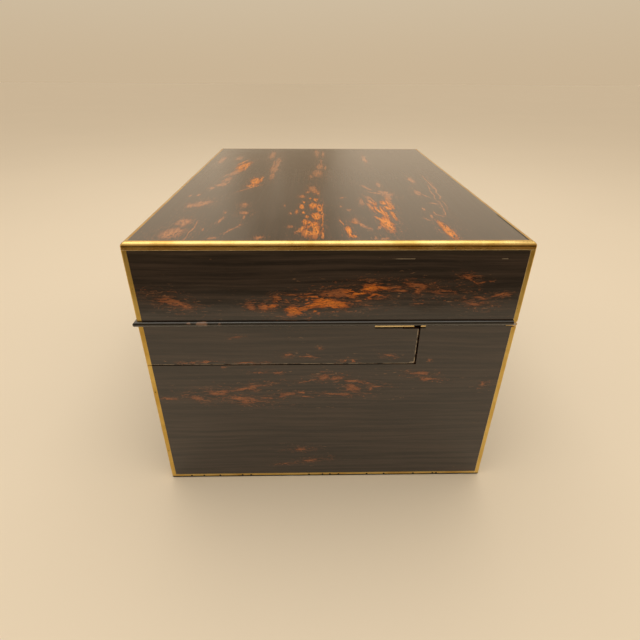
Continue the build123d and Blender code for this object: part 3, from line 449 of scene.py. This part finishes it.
    def within(along_low, along_high, across_low, across_high):
        """One inside a rectangle of the face, in mm, and nothing outside it."""
        return made.product(made.inside(along, along_low, along_high),
                            made.inside(across, across_low, across_high))

    # Pale lines along arrises, painted highlight where the eased edges catch the light and partly timber
    # rubbed through, and open joints against the brass
    for spans in highlight_spans:
        edge_highlight_and_wear = made.product(within(*spans), made.remap(frays, 0.38, 0.56, 0.0, 0.9))
        skin = made.mix(edge_highlight_and_wear, skin, highlight_tan)
    polish_left = made.maths("MULTIPLY_ADD", made.product(flame, shine), -0.5, 1.0)
    for spans in gaps:
        open_here = within(*spans)
        skin = made.mix(open_here, skin, gap_black)
        polish_left = made.product(polish_left, made.maths("SUBTRACT", 1.0, open_here))

    # Red-brown timber below the veneer, seen where the box is cut or open
    depth = made.maths("MULTIPLY_ADD", axes[depth_axis], float(inward), -inward * outside)
    core_place = made.join(made.product(along, 0.012), made.product(across, 0.55),
                           made.product(depth, 550.0))
    core_lines = made.noise(core_place, detail=5.0, roughness=0.62)
    core = made.mix(made.remap(core_lines, 0.3, 0.7), core_dark, core_light)
    below = made.maths("GREATER_THAN", depth, veneer_thickness)

    ripple = made.stretched(flat, (0.030, 0.045, 1.0), detail=2.0)
    grain_relief = made.bump(lines, grain_depth)
    made.set(
        base_color=made.mix(below, skin, core),
        roughness=made.remap(streaks, 0.3, 0.7, 0.30, 0.38),
        normal=grain_relief,
        specular_ior_level=0.14,
        coat_weight=polish_left,
        coat_roughness=0.045,
        coat_ior=1.58,
        coat_normal=made.bump(ripple, ripple_depth, over=grain_relief),
    )
    return made.material


# Depth of the timber's pores, and its colour under a chip
pore_depth = 0.05 * MM
chip_pink = (0.22, 0.125, 0.085)


def timber(name, along_axis, dark, light, roughness, coat, chips=()):
    """Plain straight-grained timber with fine pores, its grain along one axis.

    chips are small bare places, each a place and a reach.
    """
    made = Finish(name)
    stretch = {"X": (12.0, 260.0, 260.0), "Y": (260.0, 12.0, 260.0)}[along_axis]
    bands = made.stretched(made.place, scaled(stretch, 0.2), detail=4.0, roughness=0.55, distortion=0.4)
    lines = made.stretched(made.place, stretch, detail=5.0, roughness=0.65)
    pores = made.stretched(made.place, scaled(stretch, 6.0), detail=2.0)
    colour = made.mix(made.remap(bands, 0.30, 0.72), dark, light)
    colour = made.mix(made.remap(lines, 0.46, 0.72, 0.0, 0.65), colour, scaled(dark, 0.5))
    colour = made.mix(made.remap(pores, 0.60, 0.72, 0.0, 0.7), colour, scaled(dark, 0.3))
    for x, y, z, size in chips:
        bare = made.product(made.fade(made.away_from(x, y, z), 0.4 * size, size),
                            made.remap(lines, 0.40, 0.50))
        colour = made.mix(bare, colour, chip_pink)
    made.set(
        base_color=colour,
        roughness=made.remap(lines, 0.3, 0.7, roughness, roughness + 0.12),
        normal=made.bump(pores, pore_depth),
        coat_weight=coat,
        coat_roughness=0.16,
    )
    return made.material


# Marks in the brass: their depths, the reach of a rubbed edge and its painted highlight, and their
# colours, the last of them the black of painted shade
dent_depth = 0.4 * MM
pitting_depth = 0.02 * MM
highlight_core = 0.15 * MM
highlight_reach = 0.42 * MM
hole_brown = (0.020, 0.012, 0.006)
highlight_gold = (0.95, 0.78, 0.46)
painted_shade_black = (0.006, 0.004, 0.003)


def brass(name, bright, toned, roughness, lay, pins=(), arrises=(), shaded_heights=None):
    """Brass with drifting tone and hairline scratches, whose lay is how close they are on X, Y and Z.

    pins are small dark holes, each a place and a reach. arrises are rubbed edges that catch the
    light, painted as a pale, rougher highlight line, each an axis and a place along it. shaded_heights
    is a span of heights painted black as shade, such as a contact shadow or shade down a slot.
    """
    made = Finish(name)
    axes = made.split(made.place)
    tone = made.noise(made.place, scale=42.0, detail=4.0, roughness=0.6)
    fine = made.noise(made.place, scale=700.0, detail=3.0, roughness=0.7)
    scratches = made.stretched(made.place, lay, detail=3.0)
    spots = made.fade(made.cells(made.place, scale=170.0), 0.035, 0.075)
    colour = made.mix(made.remap(tone, 0.36, 0.68), bright, toned)
    colour = made.mix(made.remap(fine, 0.58, 0.80, 0.0, 0.5), colour, scaled(toned, 0.62))
    colour = made.mix(made.product(spots, 0.55), colour, scaled(toned, 0.22))
    holes = 1.0
    for x, y, z, size in pins:
        holes = made.maths("MINIMUM", holes, made.maths("DIVIDE", made.away_from(x, y, z), size))
    hollow = made.remap(holes, 0.55, 1.0)
    colour = made.mix(hollow, hole_brown, colour)
    # Painted highlight: a pale, rougher line along each arris, standing for light caught by rubbed brass
    edge_highlight_and_wear = 0.0
    for axis, place in arrises:
        away = made.maths("ABSOLUTE", made.maths("SUBTRACT", axes[axis], place))
        edge_highlight_and_wear = made.maths("MAXIMUM", edge_highlight_and_wear, made.fade(away, highlight_core, highlight_reach))
    colour = made.mix(made.product(edge_highlight_and_wear, 0.8), colour, highlight_gold)
    # Painted shade: the span of heights is darkened to black, a painted contact shadow or shade in a slot
    if shaded_heights:
        colour = made.mix(made.inside(axes["Z"], *shaded_heights), colour, painted_shade_black)
    sheen = made.maths("ADD", roughness, made.remap(scratches, 0.40, 0.70, 0.0, 0.14))
    made.set(
        base_color=colour,
        metallic=1.0,
        roughness=made.maths("MULTIPLY_ADD", edge_highlight_and_wear, 0.34, sheen),
        normal=made.bump(hollow, dent_depth, over=made.bump(fine, pitting_depth)),
    )
    return made.material


# Pins in the strips beside the front and rear corners, nicks in the foot strip, and three small
# holes in the edging of the end
pin_reach = 0.75 * MM
small_pin_reach = 0.5 * MM
hole_reach = 0.45 * MM
nick_reach = 0.95 * MM
strip_middle = 1.8 * MM
foot_mid_z = 2.1 * MM
nick_places = (-108, -98, -85, -67, -60, -13, -2, 4, 11, 34, 48, 72, 88, 91)
rear_pin_heights = (137.0, 119.5, 109.0, 78.0, 40.0, 14.0)
front_pin_heights = (88.0, 30.0)
hole_heights = (195.4, 196.1, 196.8)
hole_y = 76.6 * MM
edge_pins = [(half_width, place * MM, foot_mid_z, nick_reach) for place in nick_places]
edge_pins += [(half_width, back_y - strip_middle, height * MM, pin_reach) for height in rear_pin_heights]
edge_pins += [(half_width, front_y + strip_middle, height * MM, small_pin_reach)
              for height in front_pin_heights]
edge_pins += [(half_width, hole_y, height * MM, hole_reach) for height in hole_heights]

# Bands of scattered figure on the faces that the photograph doesn't show, in mm
end_span = 110
long_span = 150
left_strokes = scattered(5, end_span, [(160, 5, 4), (88, 6, 4), (40, 6, 1)])
front_strokes = scattered(8, long_span, [(163, 5, 5), (84, 6, 5), (32, 5, 2)])
back_strokes = scattered(13, long_span, [(162, 6, 4), (96, 6, 4), (34, 5, 2)])
veneers = {
    "top": veneer("veneer_top", "top", top_strokes, 3.1, top_eyes, top_glow, joint=top_joint, gaps=top_gaps,
                  sway=7.0, fray=0.8, swell=0.3, fullness=1.0, cracked=0.65, bitten=0.56),
    "right": veneer("veneer_right_end", "right", end_strokes, 11.7, end_eyes, end_glow, end_highlight_lines, sway=6.0),
    "left": veneer("veneer_left_end", "left", left_strokes, 23.4),
    "front": veneer("veneer_front", "front", front_strokes, 37.2),
    "back": veneer("veneer_back", "back", back_strokes, 51.9),
}

# Rubbed edges painted with a highlight line, the lay of scratches along a strip, and the heights
# painted black as shade: a contact shadow along the foot, and shade down the slot of the pivot plates
lid_arrises = [("Z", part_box("lid_top_edging")[0].z)]
strip_arrises = [("Y", front_y), ("Y", back_y)]
along_strip = (1500.0, 1500.0, 60.0)
foot_painted_shadow = (0.0, 1.7 * MM)
slot_painted_shade = (rim_z - 12 * MM, rim_z - 1.25 * MM)
edging_brass = brass("edging_brass", (0.86, 0.62, 0.24), (0.66, 0.42, 0.12), 0.15,
                     (90.0, 90.0, 1500.0), edge_pins, lid_arrises)
strip_brass = brass("strip_brass", (0.74, 0.53, 0.16), (0.58, 0.37, 0.08), 0.30,
                    along_strip, edge_pins, strip_arrises)
foot_brass = brass("foot_brass", (0.74, 0.53, 0.18), (0.58, 0.37, 0.10), 0.30,
                   along_strip, edge_pins, strip_arrises, foot_painted_shadow)
fitting_brass = brass("fitting_brass", (0.80, 0.58, 0.27), (0.60, 0.40, 0.17), 0.24,
                      (500.0, 900.0, 900.0))
plate_brass = brass("plate_brass", (0.95, 0.76, 0.42), (0.86, 0.62, 0.28), 0.34,
                    (900.0, 60.0, 900.0), shaded_heights=slot_painted_shade)

mahogany = ((0.110, 0.036, 0.016), (0.235, 0.092, 0.040))
mahogany_x = timber("mahogany_along_x", "X", *mahogany, 0.34, 0.5)
mahogany_y = timber("mahogany_along_y", "Y", *mahogany, 0.34, 0.5)

# Chips on the bead, each a place along it and a reach in mm
bead_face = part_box("lid_bead_moulding")[1].x
bead_mid_z = lid_z + 2.2 * MM
bead_chips = [(bead_face, place * MM, bead_mid_z, reach * MM)
              for place, reach in ((-80.5, 3.4), (-90, 2.0), (-70, 1.4), (-83.5, 2.4))]
ebonised = timber("ebonised_bead", "Y", (0.007, 0.006, 0.0055), (0.014, 0.011, 0.009), 0.20, 1.0,
                  bead_chips)

# Relief of velvet, leather, filed steel and felt, and the breadth and colour of a gilt line
pile_depth = 0.22 * MM
leather_depth = 0.12 * MM
gilt_core = 0.25 * MM
gilt_reach = 0.50 * MM
gilt = (0.62, 0.42, 0.15)
file_depth = 0.01 * MM
felt_depth = 0.3 * MM


def velvet(name, deep, crest):
    """Short silk pile: dark where it is seen straight on, lighter on its flanks, brushed unevenly."""
    made = Finish(name)
    nap = made.noise(made.place, scale=55.0, detail=3.0, roughness=0.6, distortion=0.6)
    pile = made.noise(made.place, scale=2600.0, detail=2.0, roughness=0.7)
    rub = made.noise(made.place, scale=14.0, detail=2.0)
    colour = made.mix(made.remap(nap, 0.35, 0.68), deep, crest)
    colour = made.mix(made.remap(rub, 0.50, 0.75, 0.0, 0.35), colour, scaled(crest, 1.8))
    made.set(
        base_color=colour,
        roughness=0.95,
        normal=made.bump(made.maths("MULTIPLY_ADD", nap, 0.35, pile), pile_depth),
        sheen_weight=0.85,
        sheen_roughness=0.38,
        sheen_tint=(0.62, 0.36, 0.66, 1.0),
        specular_ior_level=0.15,
    )
    return made.material


def leather(name, deep, light, lines):
    """Fine-grained leather with gilt tooled rectangles, each a middle, half length and half breadth."""
    made = Finish(name)
    axes = made.split(made.place)
    grain = made.cells(made.place, scale=1500.0)
    crease = made.noise(made.place, scale=120.0, detail=4.0, roughness=0.6)
    groove = 0.0
    for middle_y, half_length, half_breadth in lines:
        from_middle = made.maths("ABSOLUTE", made.maths("SUBTRACT", axes["Y"], middle_y))
        out_x = made.maths("SUBTRACT", made.maths("ABSOLUTE", axes["X"]), half_length)
        out_y = made.maths("SUBTRACT", from_middle, half_breadth)
        near = made.maths("ABSOLUTE", made.maths("MAXIMUM", out_x, out_y))
        groove = made.maths("MAXIMUM", groove, made.fade(near, gilt_core, gilt_reach))
    gilded = made.product(groove, made.remap(crease, 0.30, 0.48, 0.35, 0.9))
    colour = made.mix(made.remap(crease, 0.35, 0.7), deep, light)
    made.set(
        base_color=made.mix(gilded, colour, gilt),
        roughness=made.remap(crease, 0.3, 0.7, 0.42, 0.56),
        normal=made.bump(made.maths("SUBTRACT", made.product(grain, 0.4), groove), leather_depth),
        specular_ior_level=0.45,
    )
    return made.material


def steel(name):
    """Filed bright steel with fine marks along the bar."""
    made = Finish(name)
    marks = made.stretched(made.place, (60.0, 2400.0, 2400.0), detail=2.0)
    tone = made.noise(made.place, scale=60.0, detail=3.0)
    made.set(
        base_color=made.mix(made.remap(tone, 0.35, 0.7), (0.56, 0.55, 0.53), (0.40, 0.38, 0.35)),
        metallic=1.0,
        roughness=made.remap(marks, 0.3, 0.7, 0.26, 0.42),
        normal=made.bump(marks, file_depth),
    )
    return made.material


def silvering(name):
    """Old mirror silver, very slightly clouded."""
    made = Finish(name)
    cloud = made.noise(made.place, scale=26.0, detail=5.0, roughness=0.6)
    spots = made.fade(made.cells(made.place, scale=60.0), 0.015, 0.05)
    colour = made.mix(made.remap(cloud, 0.45, 0.8, 0.0, 0.5), (0.90, 0.90, 0.88), (0.74, 0.73, 0.68))
    made.set(
        base_color=made.mix(made.product(spots, 0.5), colour, (0.20, 0.18, 0.15)),
        metallic=1.0,
        roughness=made.remap(cloud, 0.4, 0.8, 0.015, 0.06),
        coat_weight=1.0,
        coat_roughness=0.0,
    )
    return made.material


def felt(name):
    """Napped green wool."""
    made = Finish(name)
    fibres = made.noise(made.place, scale=1900.0, detail=4.0, roughness=0.75)
    wear = made.noise(made.place, scale=20.0, detail=3.0)
    colour = made.mix(made.remap(fibres, 0.3, 0.7), (0.018, 0.050, 0.026), (0.050, 0.115, 0.062))
    made.set(
        base_color=made.mix(made.remap(wear, 0.5, 0.8, 0.0, 0.4), colour, (0.09, 0.13, 0.08)),
        roughness=0.98,
        normal=made.bump(fibres, felt_depth),
        sheen_weight=0.4,
        sheen_roughness=0.6,
    )
    return made.material


plum_velvet = velvet("plum_velvet", (0.030, 0.007, 0.034), (0.078, 0.020, 0.080))

# Gilt lines on the mirror's frame: one just outside the glass and two near the frame's edge
frame_low, frame_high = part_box("lid_mirror_frame")
glass_low, glass_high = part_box("lid_mirror_glass")
frame_mid_y = (glass_low.y + glass_high.y) / 2
glass_gap = 3 * MM
edge_gaps = (4.5 * MM, 6 * MM)
gilt_lines = [(frame_mid_y, glass_high.x + glass_gap, (glass_high.y - glass_low.y) / 2 + glass_gap)]
gilt_lines += [(frame_mid_y, frame_high.x - gap, (frame_high.y - frame_low.y) / 2 - gap)
               for gap in edge_gaps]
plum_leather = leather("plum_leather", (0.036, 0.009, 0.036), (0.062, 0.017, 0.060), gilt_lines)
bright_steel = steel("bright_steel")
mirror_silver = silvering("mirror_silver")
green_felt = felt("green_felt")


def paint(piece, material):
    """Give a piece or a CAD node one material."""
    piece.data.materials.clear()
    piece.data.materials.append(material)


# Finishes of the CAD nodes
finishes = {
    veneers["top"]: ["lid_top_panel"],
    veneers["right"]: ["base_right_wall", "right_wing_side", "lid_right_wall"],
    veneers["left"]: ["base_left_wall", "left_wing_side", "lid_left_wall"],
    veneers["front"]: ["base_front_wall", "right_wing_front", "left_wing_front", "lid_front_wall",
                       "drawer_front"],
    veneers["back"]: ["base_back_wall", "lid_back_wall"],
    edging_brass: ["lid_top_edging", "lock_escutcheon", "drawer_pull_plate", "drawer_pull_ring"],
    strip_brass: ["base_corner_edging", "lid_corner_edging",
                  "right_wing_corner_edging", "left_wing_corner_edging"],
    foot_brass: ["base_foot_edging"],
    fitting_brass: ["base_hinge_leaf", "lid_hinge_leaf", "base_hinge_screws", "lid_hinge_screws",
                    "lock_case", "lock_barrel", "lock_link_plate"],
    plate_brass: ["wing_pivot_plates", "right_wing_pivot_leaves", "left_wing_pivot_leaves"],
    bright_steel: ["lid_hinge_pin", "right_lock_bolt", "left_lock_bolt"],
    mahogany_x: ["base_bottom_panel", "dust_board", "drawer_bottom", "rear_partitions"],
    mahogany_y: ["drawer_guides", "centre_partitions", "right_wing_inner_walls", "right_wing_floor",
                 "left_wing_inner_walls", "left_wing_floor", "centre_ring_tray", "drawer_box"],
    ebonised: ["lid_bead_moulding"],
    plum_leather: ["lid_mirror_frame"],
}
for material, names in finishes.items():
    for name in names:
        paint(nodes[name], material)


def piece_from(name, points, faces, material, body, smooth=True):
    """A mesh piece in the shared frame that rides on a body."""
    mesh = bpy.data.meshes.new(name)
    mesh.from_pydata(points, [], faces)
    mesh.validate()
    mesh.update()
    for face in mesh.polygons:
        face.use_smooth = smooth
    piece = bpy.data.objects.new(name, mesh)
    bpy.context.scene.collection.objects.link(piece)
    piece.data.materials.append(material)
    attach(piece, body)
    return piece


def islands(node):
    """Boxes of a CAD node's separate solids, as (lowest corner, highest corner), sorted by place."""
    mesh = nodes[node].data
    parent = list(range(len(mesh.vertices)))

    def root(index):
        while parent[index] != index:
            parent[index] = parent[parent[index]]
            index = parent[index]
        return index

    seen = {}
    for vertex in mesh.vertices:
        key = tuple(round(value, 6) for value in vertex.co)
        parent[root(vertex.index)] = root(seen.setdefault(key, vertex.index))
    for edge in mesh.edges:
        parent[root(edge.vertices[0])] = root(edge.vertices[1])
    groups = {}
    for vertex in mesh.vertices:
        groups.setdefault(root(vertex.index), []).append(vertex.co)
    boxes = []
    for points in groups.values():
        low = Vector(tuple(min(point[axis] for point in points) for axis in range(3)))
        high = Vector(tuple(max(point[axis] for point in points) for axis in range(3)))
        boxes.append((low, high))
    return sorted(boxes, key=lambda pair: (round(pair[0].x, 4), round(pair[0].y, 4)))


def pad_mesh(low, high, crown, roll, pitch=4 * MM):
    """Points and faces of a thin pad: flat below, crowned above, its rounded edge drawn in."""
    length = high.x - low.x
    breadth = high.y - low.y
    columns = max(6, int(length / pitch))
    rows = max(6, int(breadth / pitch))
    side_height = high.z - low.z - crown
    rim_share = 0.25
    crown_power = 0.6

    def place(fraction, steps):
        eased = fraction / steps
        return eased + 0.5 * roll * math.sin(2 * math.pi * eased) / max(length, breadth)

    top = []
    for row in range(rows + 1):
        for column in range(columns + 1):
            u = place(column, columns)
            v = place(row, rows)
            x = low.x + u * length
            y = low.y + v * breadth
            edge = min(x - low.x, high.x - x, y - low.y, high.y - y)
            turn = min(1.0, edge / roll)
            shoulder = math.sqrt(max(0.0, 1.0 - (1.0 - turn) ** 2))
            swell = math.sin(math.pi * u) ** crown_power * math.sin(math.pi * v) ** crown_power
            ripple = noise.noise(Vector((x * 90, y * 90, low.z * 50)))
            height = side_height * (rim_share + (1 - rim_share) * shoulder)
            height += crown * swell * (0.8 + 0.2 * ripple)
            top.append((x, y, low.z + height))
    under = [(x, y, low.z) for x, y, _ in top]
    across = columns + 1
    count = len(top)
    faces = []
    for row in range(rows):
        for column in range(columns):
            corner = row * across + column
            square = (corner, corner + 1, corner + across + 1, corner + across)
            faces.append(square)
            faces.append(tuple(count + index for index in reversed(square)))
    rim = list(range(across))
    rim += [row * across + columns for row in range(1, rows + 1)]
    rim += [rows * across + column for column in range(columns - 1, -1, -1)]
    rim += [row * across for row in range(rows - 1, 0, -1)]
    for start, end in zip(rim, rim[1:] + rim[:1]):
        faces.append((end, start, count + start, count + end))
    return top + under, faces


def roll_mesh(low, high, seed):
    """Points and faces of one velvet ring roll along X: full above, drawn in at its puckered ends."""
    length = high.x - low.x
    radius = (high.y - low.y) / 2
    mid_y = (low.y + high.y) / 2
    steps = max(24, int(length / (2.2 * MM)))
    around = 28
    end_reach = 2.6 * MM
    points = []
    for step in range(steps + 1):
        x = low.x + step / steps * length
        end = min(x - low.x, high.x - x)
        pull = min(1.0, end / end_reach)
        shrink = 0.80 + 0.20 * math.sqrt(max(0.0, 1 - (1 - pull) ** 2))
        for spoke in range(around):
            angle = 2 * math.pi * spoke / around
            wave = noise.noise(Vector((x * 130, spoke * 0.4, seed * 3.7)))
            pucker = (1 - pull) * 0.05 * math.sin(9 * angle + seed)
            reach = radius * (shrink + 0.018 * wave - 0.02 + pucker)
            side = math.cos(angle)
            if math.sin(angle) < 0:
                side = math.copysign(abs(side) ** 0.35, side)
            z = low.z + radius + reach * math.sin(angle)
            points.append((x, mid_y + reach * side, max(low.z, z)))
    faces = []
    for step in range(steps):
        for spoke in range(around):
            start = step * around + spoke
            beside = step * around + (spoke + 1) % around
            faces.append((start, start + around, beside + around, beside))
    faces.append(tuple(range(around)))
    faces.append(tuple(reversed(range(steps * around, steps * around + around))))
    return points, faces


def velvet_piece(node, body, meshes):
    """One velvet piece, made of several meshes, in place of a CAD node's plain solids."""
    points = []
    faces = []
    for mesh_points, mesh_faces in meshes:
        base = len(points)
        points += mesh_points
        faces += [tuple(base + index for index in face) for face in mesh_faces]
    piece = piece_from(f"{node}_velvet", points, faces, plum_velvet, body)
    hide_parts(node)
    return piece


def lining_pads(node, body, crown=0.5 * MM, roll=1.6 * MM):
    """Thin crowned pads in place of a CAD node's slabs."""
    return velvet_piece(node, body, [pad_mesh(low, high, crown, roll) for low, high in islands(node)])


def ring_rolls(node, body):
    """Padded rolls that hold rings between them."""
    meshes = [roll_mesh(low, high, seed) for seed, (low, high) in enumerate(islands(node))]
    return velvet_piece(node, body, meshes)


lining_pads("compartment_linings", "base")
lining_pads("right_wing_lining", "right_wing")
lining_pads("left_wing_lining", "left_wing")
lining_pads("drawer_lining", "drawer")
ring_rolls("right_wing_ring_rolls", "right_wing")
ring_rolls("left_wing_ring_rolls", "left_wing")
ring_rolls("centre_ring_rolls", "base")

lid_pad = lining_pads("lid_lining_pad", "lid", crown=0.3 * MM, roll=2.0 * MM)

felt_points, felt_faces = pad_mesh(*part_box("base_baize"), 0.05 * MM, 0.6 * MM, pitch=8 * MM)
base_felt = piece_from("base_baize_felt", felt_points, felt_faces, green_felt, "base")
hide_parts("base_baize")

# Bevelled mirror plate, silvered face down when the lid is shut
bevel_width = 12 * MM
bevel_drop = 1.3 * MM
inner_low = glass_low + Vector((bevel_width, bevel_width, 0))
inner_high = glass_high - Vector((bevel_width, bevel_width, 0))


def square_ring(low, high, z):
    """Four corners of a rectangle at one height."""
    return [(low.x, low.y, z), (high.x, low.y, z), (high.x, high.y, z), (low.x, high.y, z)]


plate_points = square_ring(glass_low, glass_high, glass_high.z)
plate_points += square_ring(glass_low, glass_high, glass_low.z + bevel_drop)
plate_points += square_ring(inner_low, inner_high, glass_low.z)
plate_faces = [(0, 1, 2, 3), (11, 10, 9, 8)]
for corner in range(4):
    after = (corner + 1) % 4
    plate_faces.append((corner + 4, after + 4, after, corner))
    plate_faces.append((corner + 8, after + 8, after + 4, corner + 4))
mirror_plate = piece_from("mirror_plate", plate_points, plate_faces, mirror_silver, "lid", smooth=False)
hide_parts("lid_mirror_glass")


def stage_sheet(name, corners, material):
    """A flat sheet of the surroundings, which is no part of the object."""
    mesh = bpy.data.meshes.new(name)
    mesh.from_pydata(corners, [], [(0, 1, 2, 3)])
    sheet = bpy.data.objects.new(name, mesh)
    sheet.data.materials.append(material)
    bpy.context.scene.collection.objects.link(sheet)
    return sheet


# Floor
floor = Finish("pale_floor")
floor_tone = floor.noise(floor.place, scale=3.0, detail=3.0)
floor.set(
    base_color=floor.mix(floor_tone, (0.815, 0.74, 0.62), (0.845, 0.765, 0.64)),
    roughness=0.55,
    specular_ior_level=0.2,
)
floor_reach = 9.0
floor_corners = [(x * floor_reach, y * floor_reach, 0) for x, y in ((-1, -1), (1, -1), (1, 1), (-1, 1))]
stage_sheet("floor", floor_corners, floor.material)

# Soft light from above and all round, warmer and a little uneven between the horizon and the zenith.
# What shows behind the box is plain, and meets the far edge of the floor in its own colour
horizon = (0.592, 0.458, 0.302)
backdrop_high = (0.64, 0.535, 0.385)
surround_dark = (0.40, 0.285, 0.175)
surround_light = (0.74, 0.575, 0.400)
zenith = (0.70, 0.635, 0.530)
world = bpy.data.worlds.new("studio")
bpy.context.scene.world = world
world.use_nodes = True
sky = Wiring(world.node_tree)
direction = sky.node("ShaderNodeTexCoord").outputs["Generated"]
climb = sky.split(direction)["Z"]
drifts = sky.noise(direction, scale=5.0, detail=3.0, roughness=0.5, distortion=0.8)
sideways = sky.maths("ABSOLUTE", sky.maths("ADD", sky.split(direction)["Y"], 0.04))
uneven = sky.maths("MULTIPLY_ADD", drifts, 0.8, sky.remap(sideways, 0.02, 0.24, 0.0, 0.7))
surround = sky.mix(sky.remap(uneven, 0.35, 0.95), surround_dark, surround_light)
backdrop = sky.mix(sky.remap(climb, -0.03, 0.22), horizon, backdrop_high)
low_light = sky.mix(sky.remap(climb, 0.10, 0.17), backdrop, surround)
all_light = sky.mix(sky.remap(climb, 0.40, 0.90), low_light, zenith)
seen = sky.node("ShaderNodeLightPath").outputs["Is Camera Ray"]
sky.feed(sky.tree.nodes["Background"].inputs["Color"], sky.mix(seen, all_light, backdrop))

softbox = bpy.data.lights.new("softbox", "AREA")
softbox.shape = "RECTANGLE"
softbox.size = 1.5
softbox.size_y = 1.3
softbox.energy = 8.5
softbox.color = (1.0, 0.93, 0.82)
softbox_holder = bpy.data.objects.new("softbox", softbox)
softbox_holder.location = (-0.10, 0.0, 1.35)
bpy.context.scene.collection.objects.link(softbox_holder)

# Dark screen beyond the end of the box, seen only as a reflection in polish and brass
screen_x = 0.46
screen_half = 1.1
screen_top = 0.42
screen_base = (0.46, 0.37, 0.25)
screen_low = (0.105, 0.074, 0.043)
screen_band = (0.27, 0.170, 0.075)
screen_dark = (0.035, 0.018, 0.006)
screen_high = (0.33, 0.235, 0.125)
screen_end = (0.58, 0.45, 0.30)
screen = Finish("dark_screen")
height = screen.split(screen.place)["Z"]
rising = screen.mix(screen.remap(height, -0.01, 0.04), screen_base, screen_low)
rising = screen.mix(screen.remap(height, 0.072, 0.092), rising, screen_band)
rising = screen.mix(screen.remap(height, 0.105, 0.14), rising, screen_dark)
rising = screen.mix(screen.remap(height, 0.21, 0.30), rising, screen_high)
aside = screen.maths("ABSOLUTE", screen.split(screen.place)["Y"])
screen.set(
    base_color=(0.0, 0.0, 0.0, 1.0),
    roughness=1.0,
    specular_ior_level=0.0,
    emission_color=screen.mix(screen.remap(aside, 0.35, 0.85), rising, screen_end),
    emission_strength=1.0,
)
screen_corners = [
    (screen_x, -screen_half, 0.0), (screen_x, screen_half, 0.0),
    (screen_x, screen_half, screen_top), (screen_x, -screen_half, screen_top),
]
screen_sheet = stage_sheet("screen", screen_corners, screen.material)
screen_sheet.visible_camera = False
screen_sheet.visible_diffuse = False
screen_sheet.visible_shadow = False

# Camera at the photograph's place
camera_data = bpy.data.cameras.new("camera")
camera_data.sensor_width = 36.0
camera_data.lens = 24.93
camera_data.clip_start = 0.01
camera_place = Vector((0.424206, -0.010135, 0.290849))
camera_yaw = math.radians(1.2177)
camera_pitch = math.radians(29.8089)
camera_roll = math.radians(0.3356)
ahead = Vector((
    -math.cos(camera_yaw) * math.cos(camera_pitch),
    math.sin(camera_yaw) * math.cos(camera_pitch),
    -math.sin(camera_pitch),
))
level_right = Vector((math.sin(camera_yaw), math.cos(camera_yaw), 0.0))
level_up = level_right.cross(ahead)
right = math.cos(camera_roll) * level_right + math.sin(camera_roll) * level_up
up = math.cos(camera_roll) * level_up - math.sin(camera_roll) * level_right
camera = bpy.data.objects.new("camera", camera_data)
turned = Matrix((right, up, -ahead)).transposed().to_4x4()
camera.matrix_world = Matrix.Translation(camera_place) @ turned
bpy.context.scene.collection.objects.link(camera)
bpy.context.scene.camera = camera
bpy.context.scene.view_settings.view_transform = "Standard"
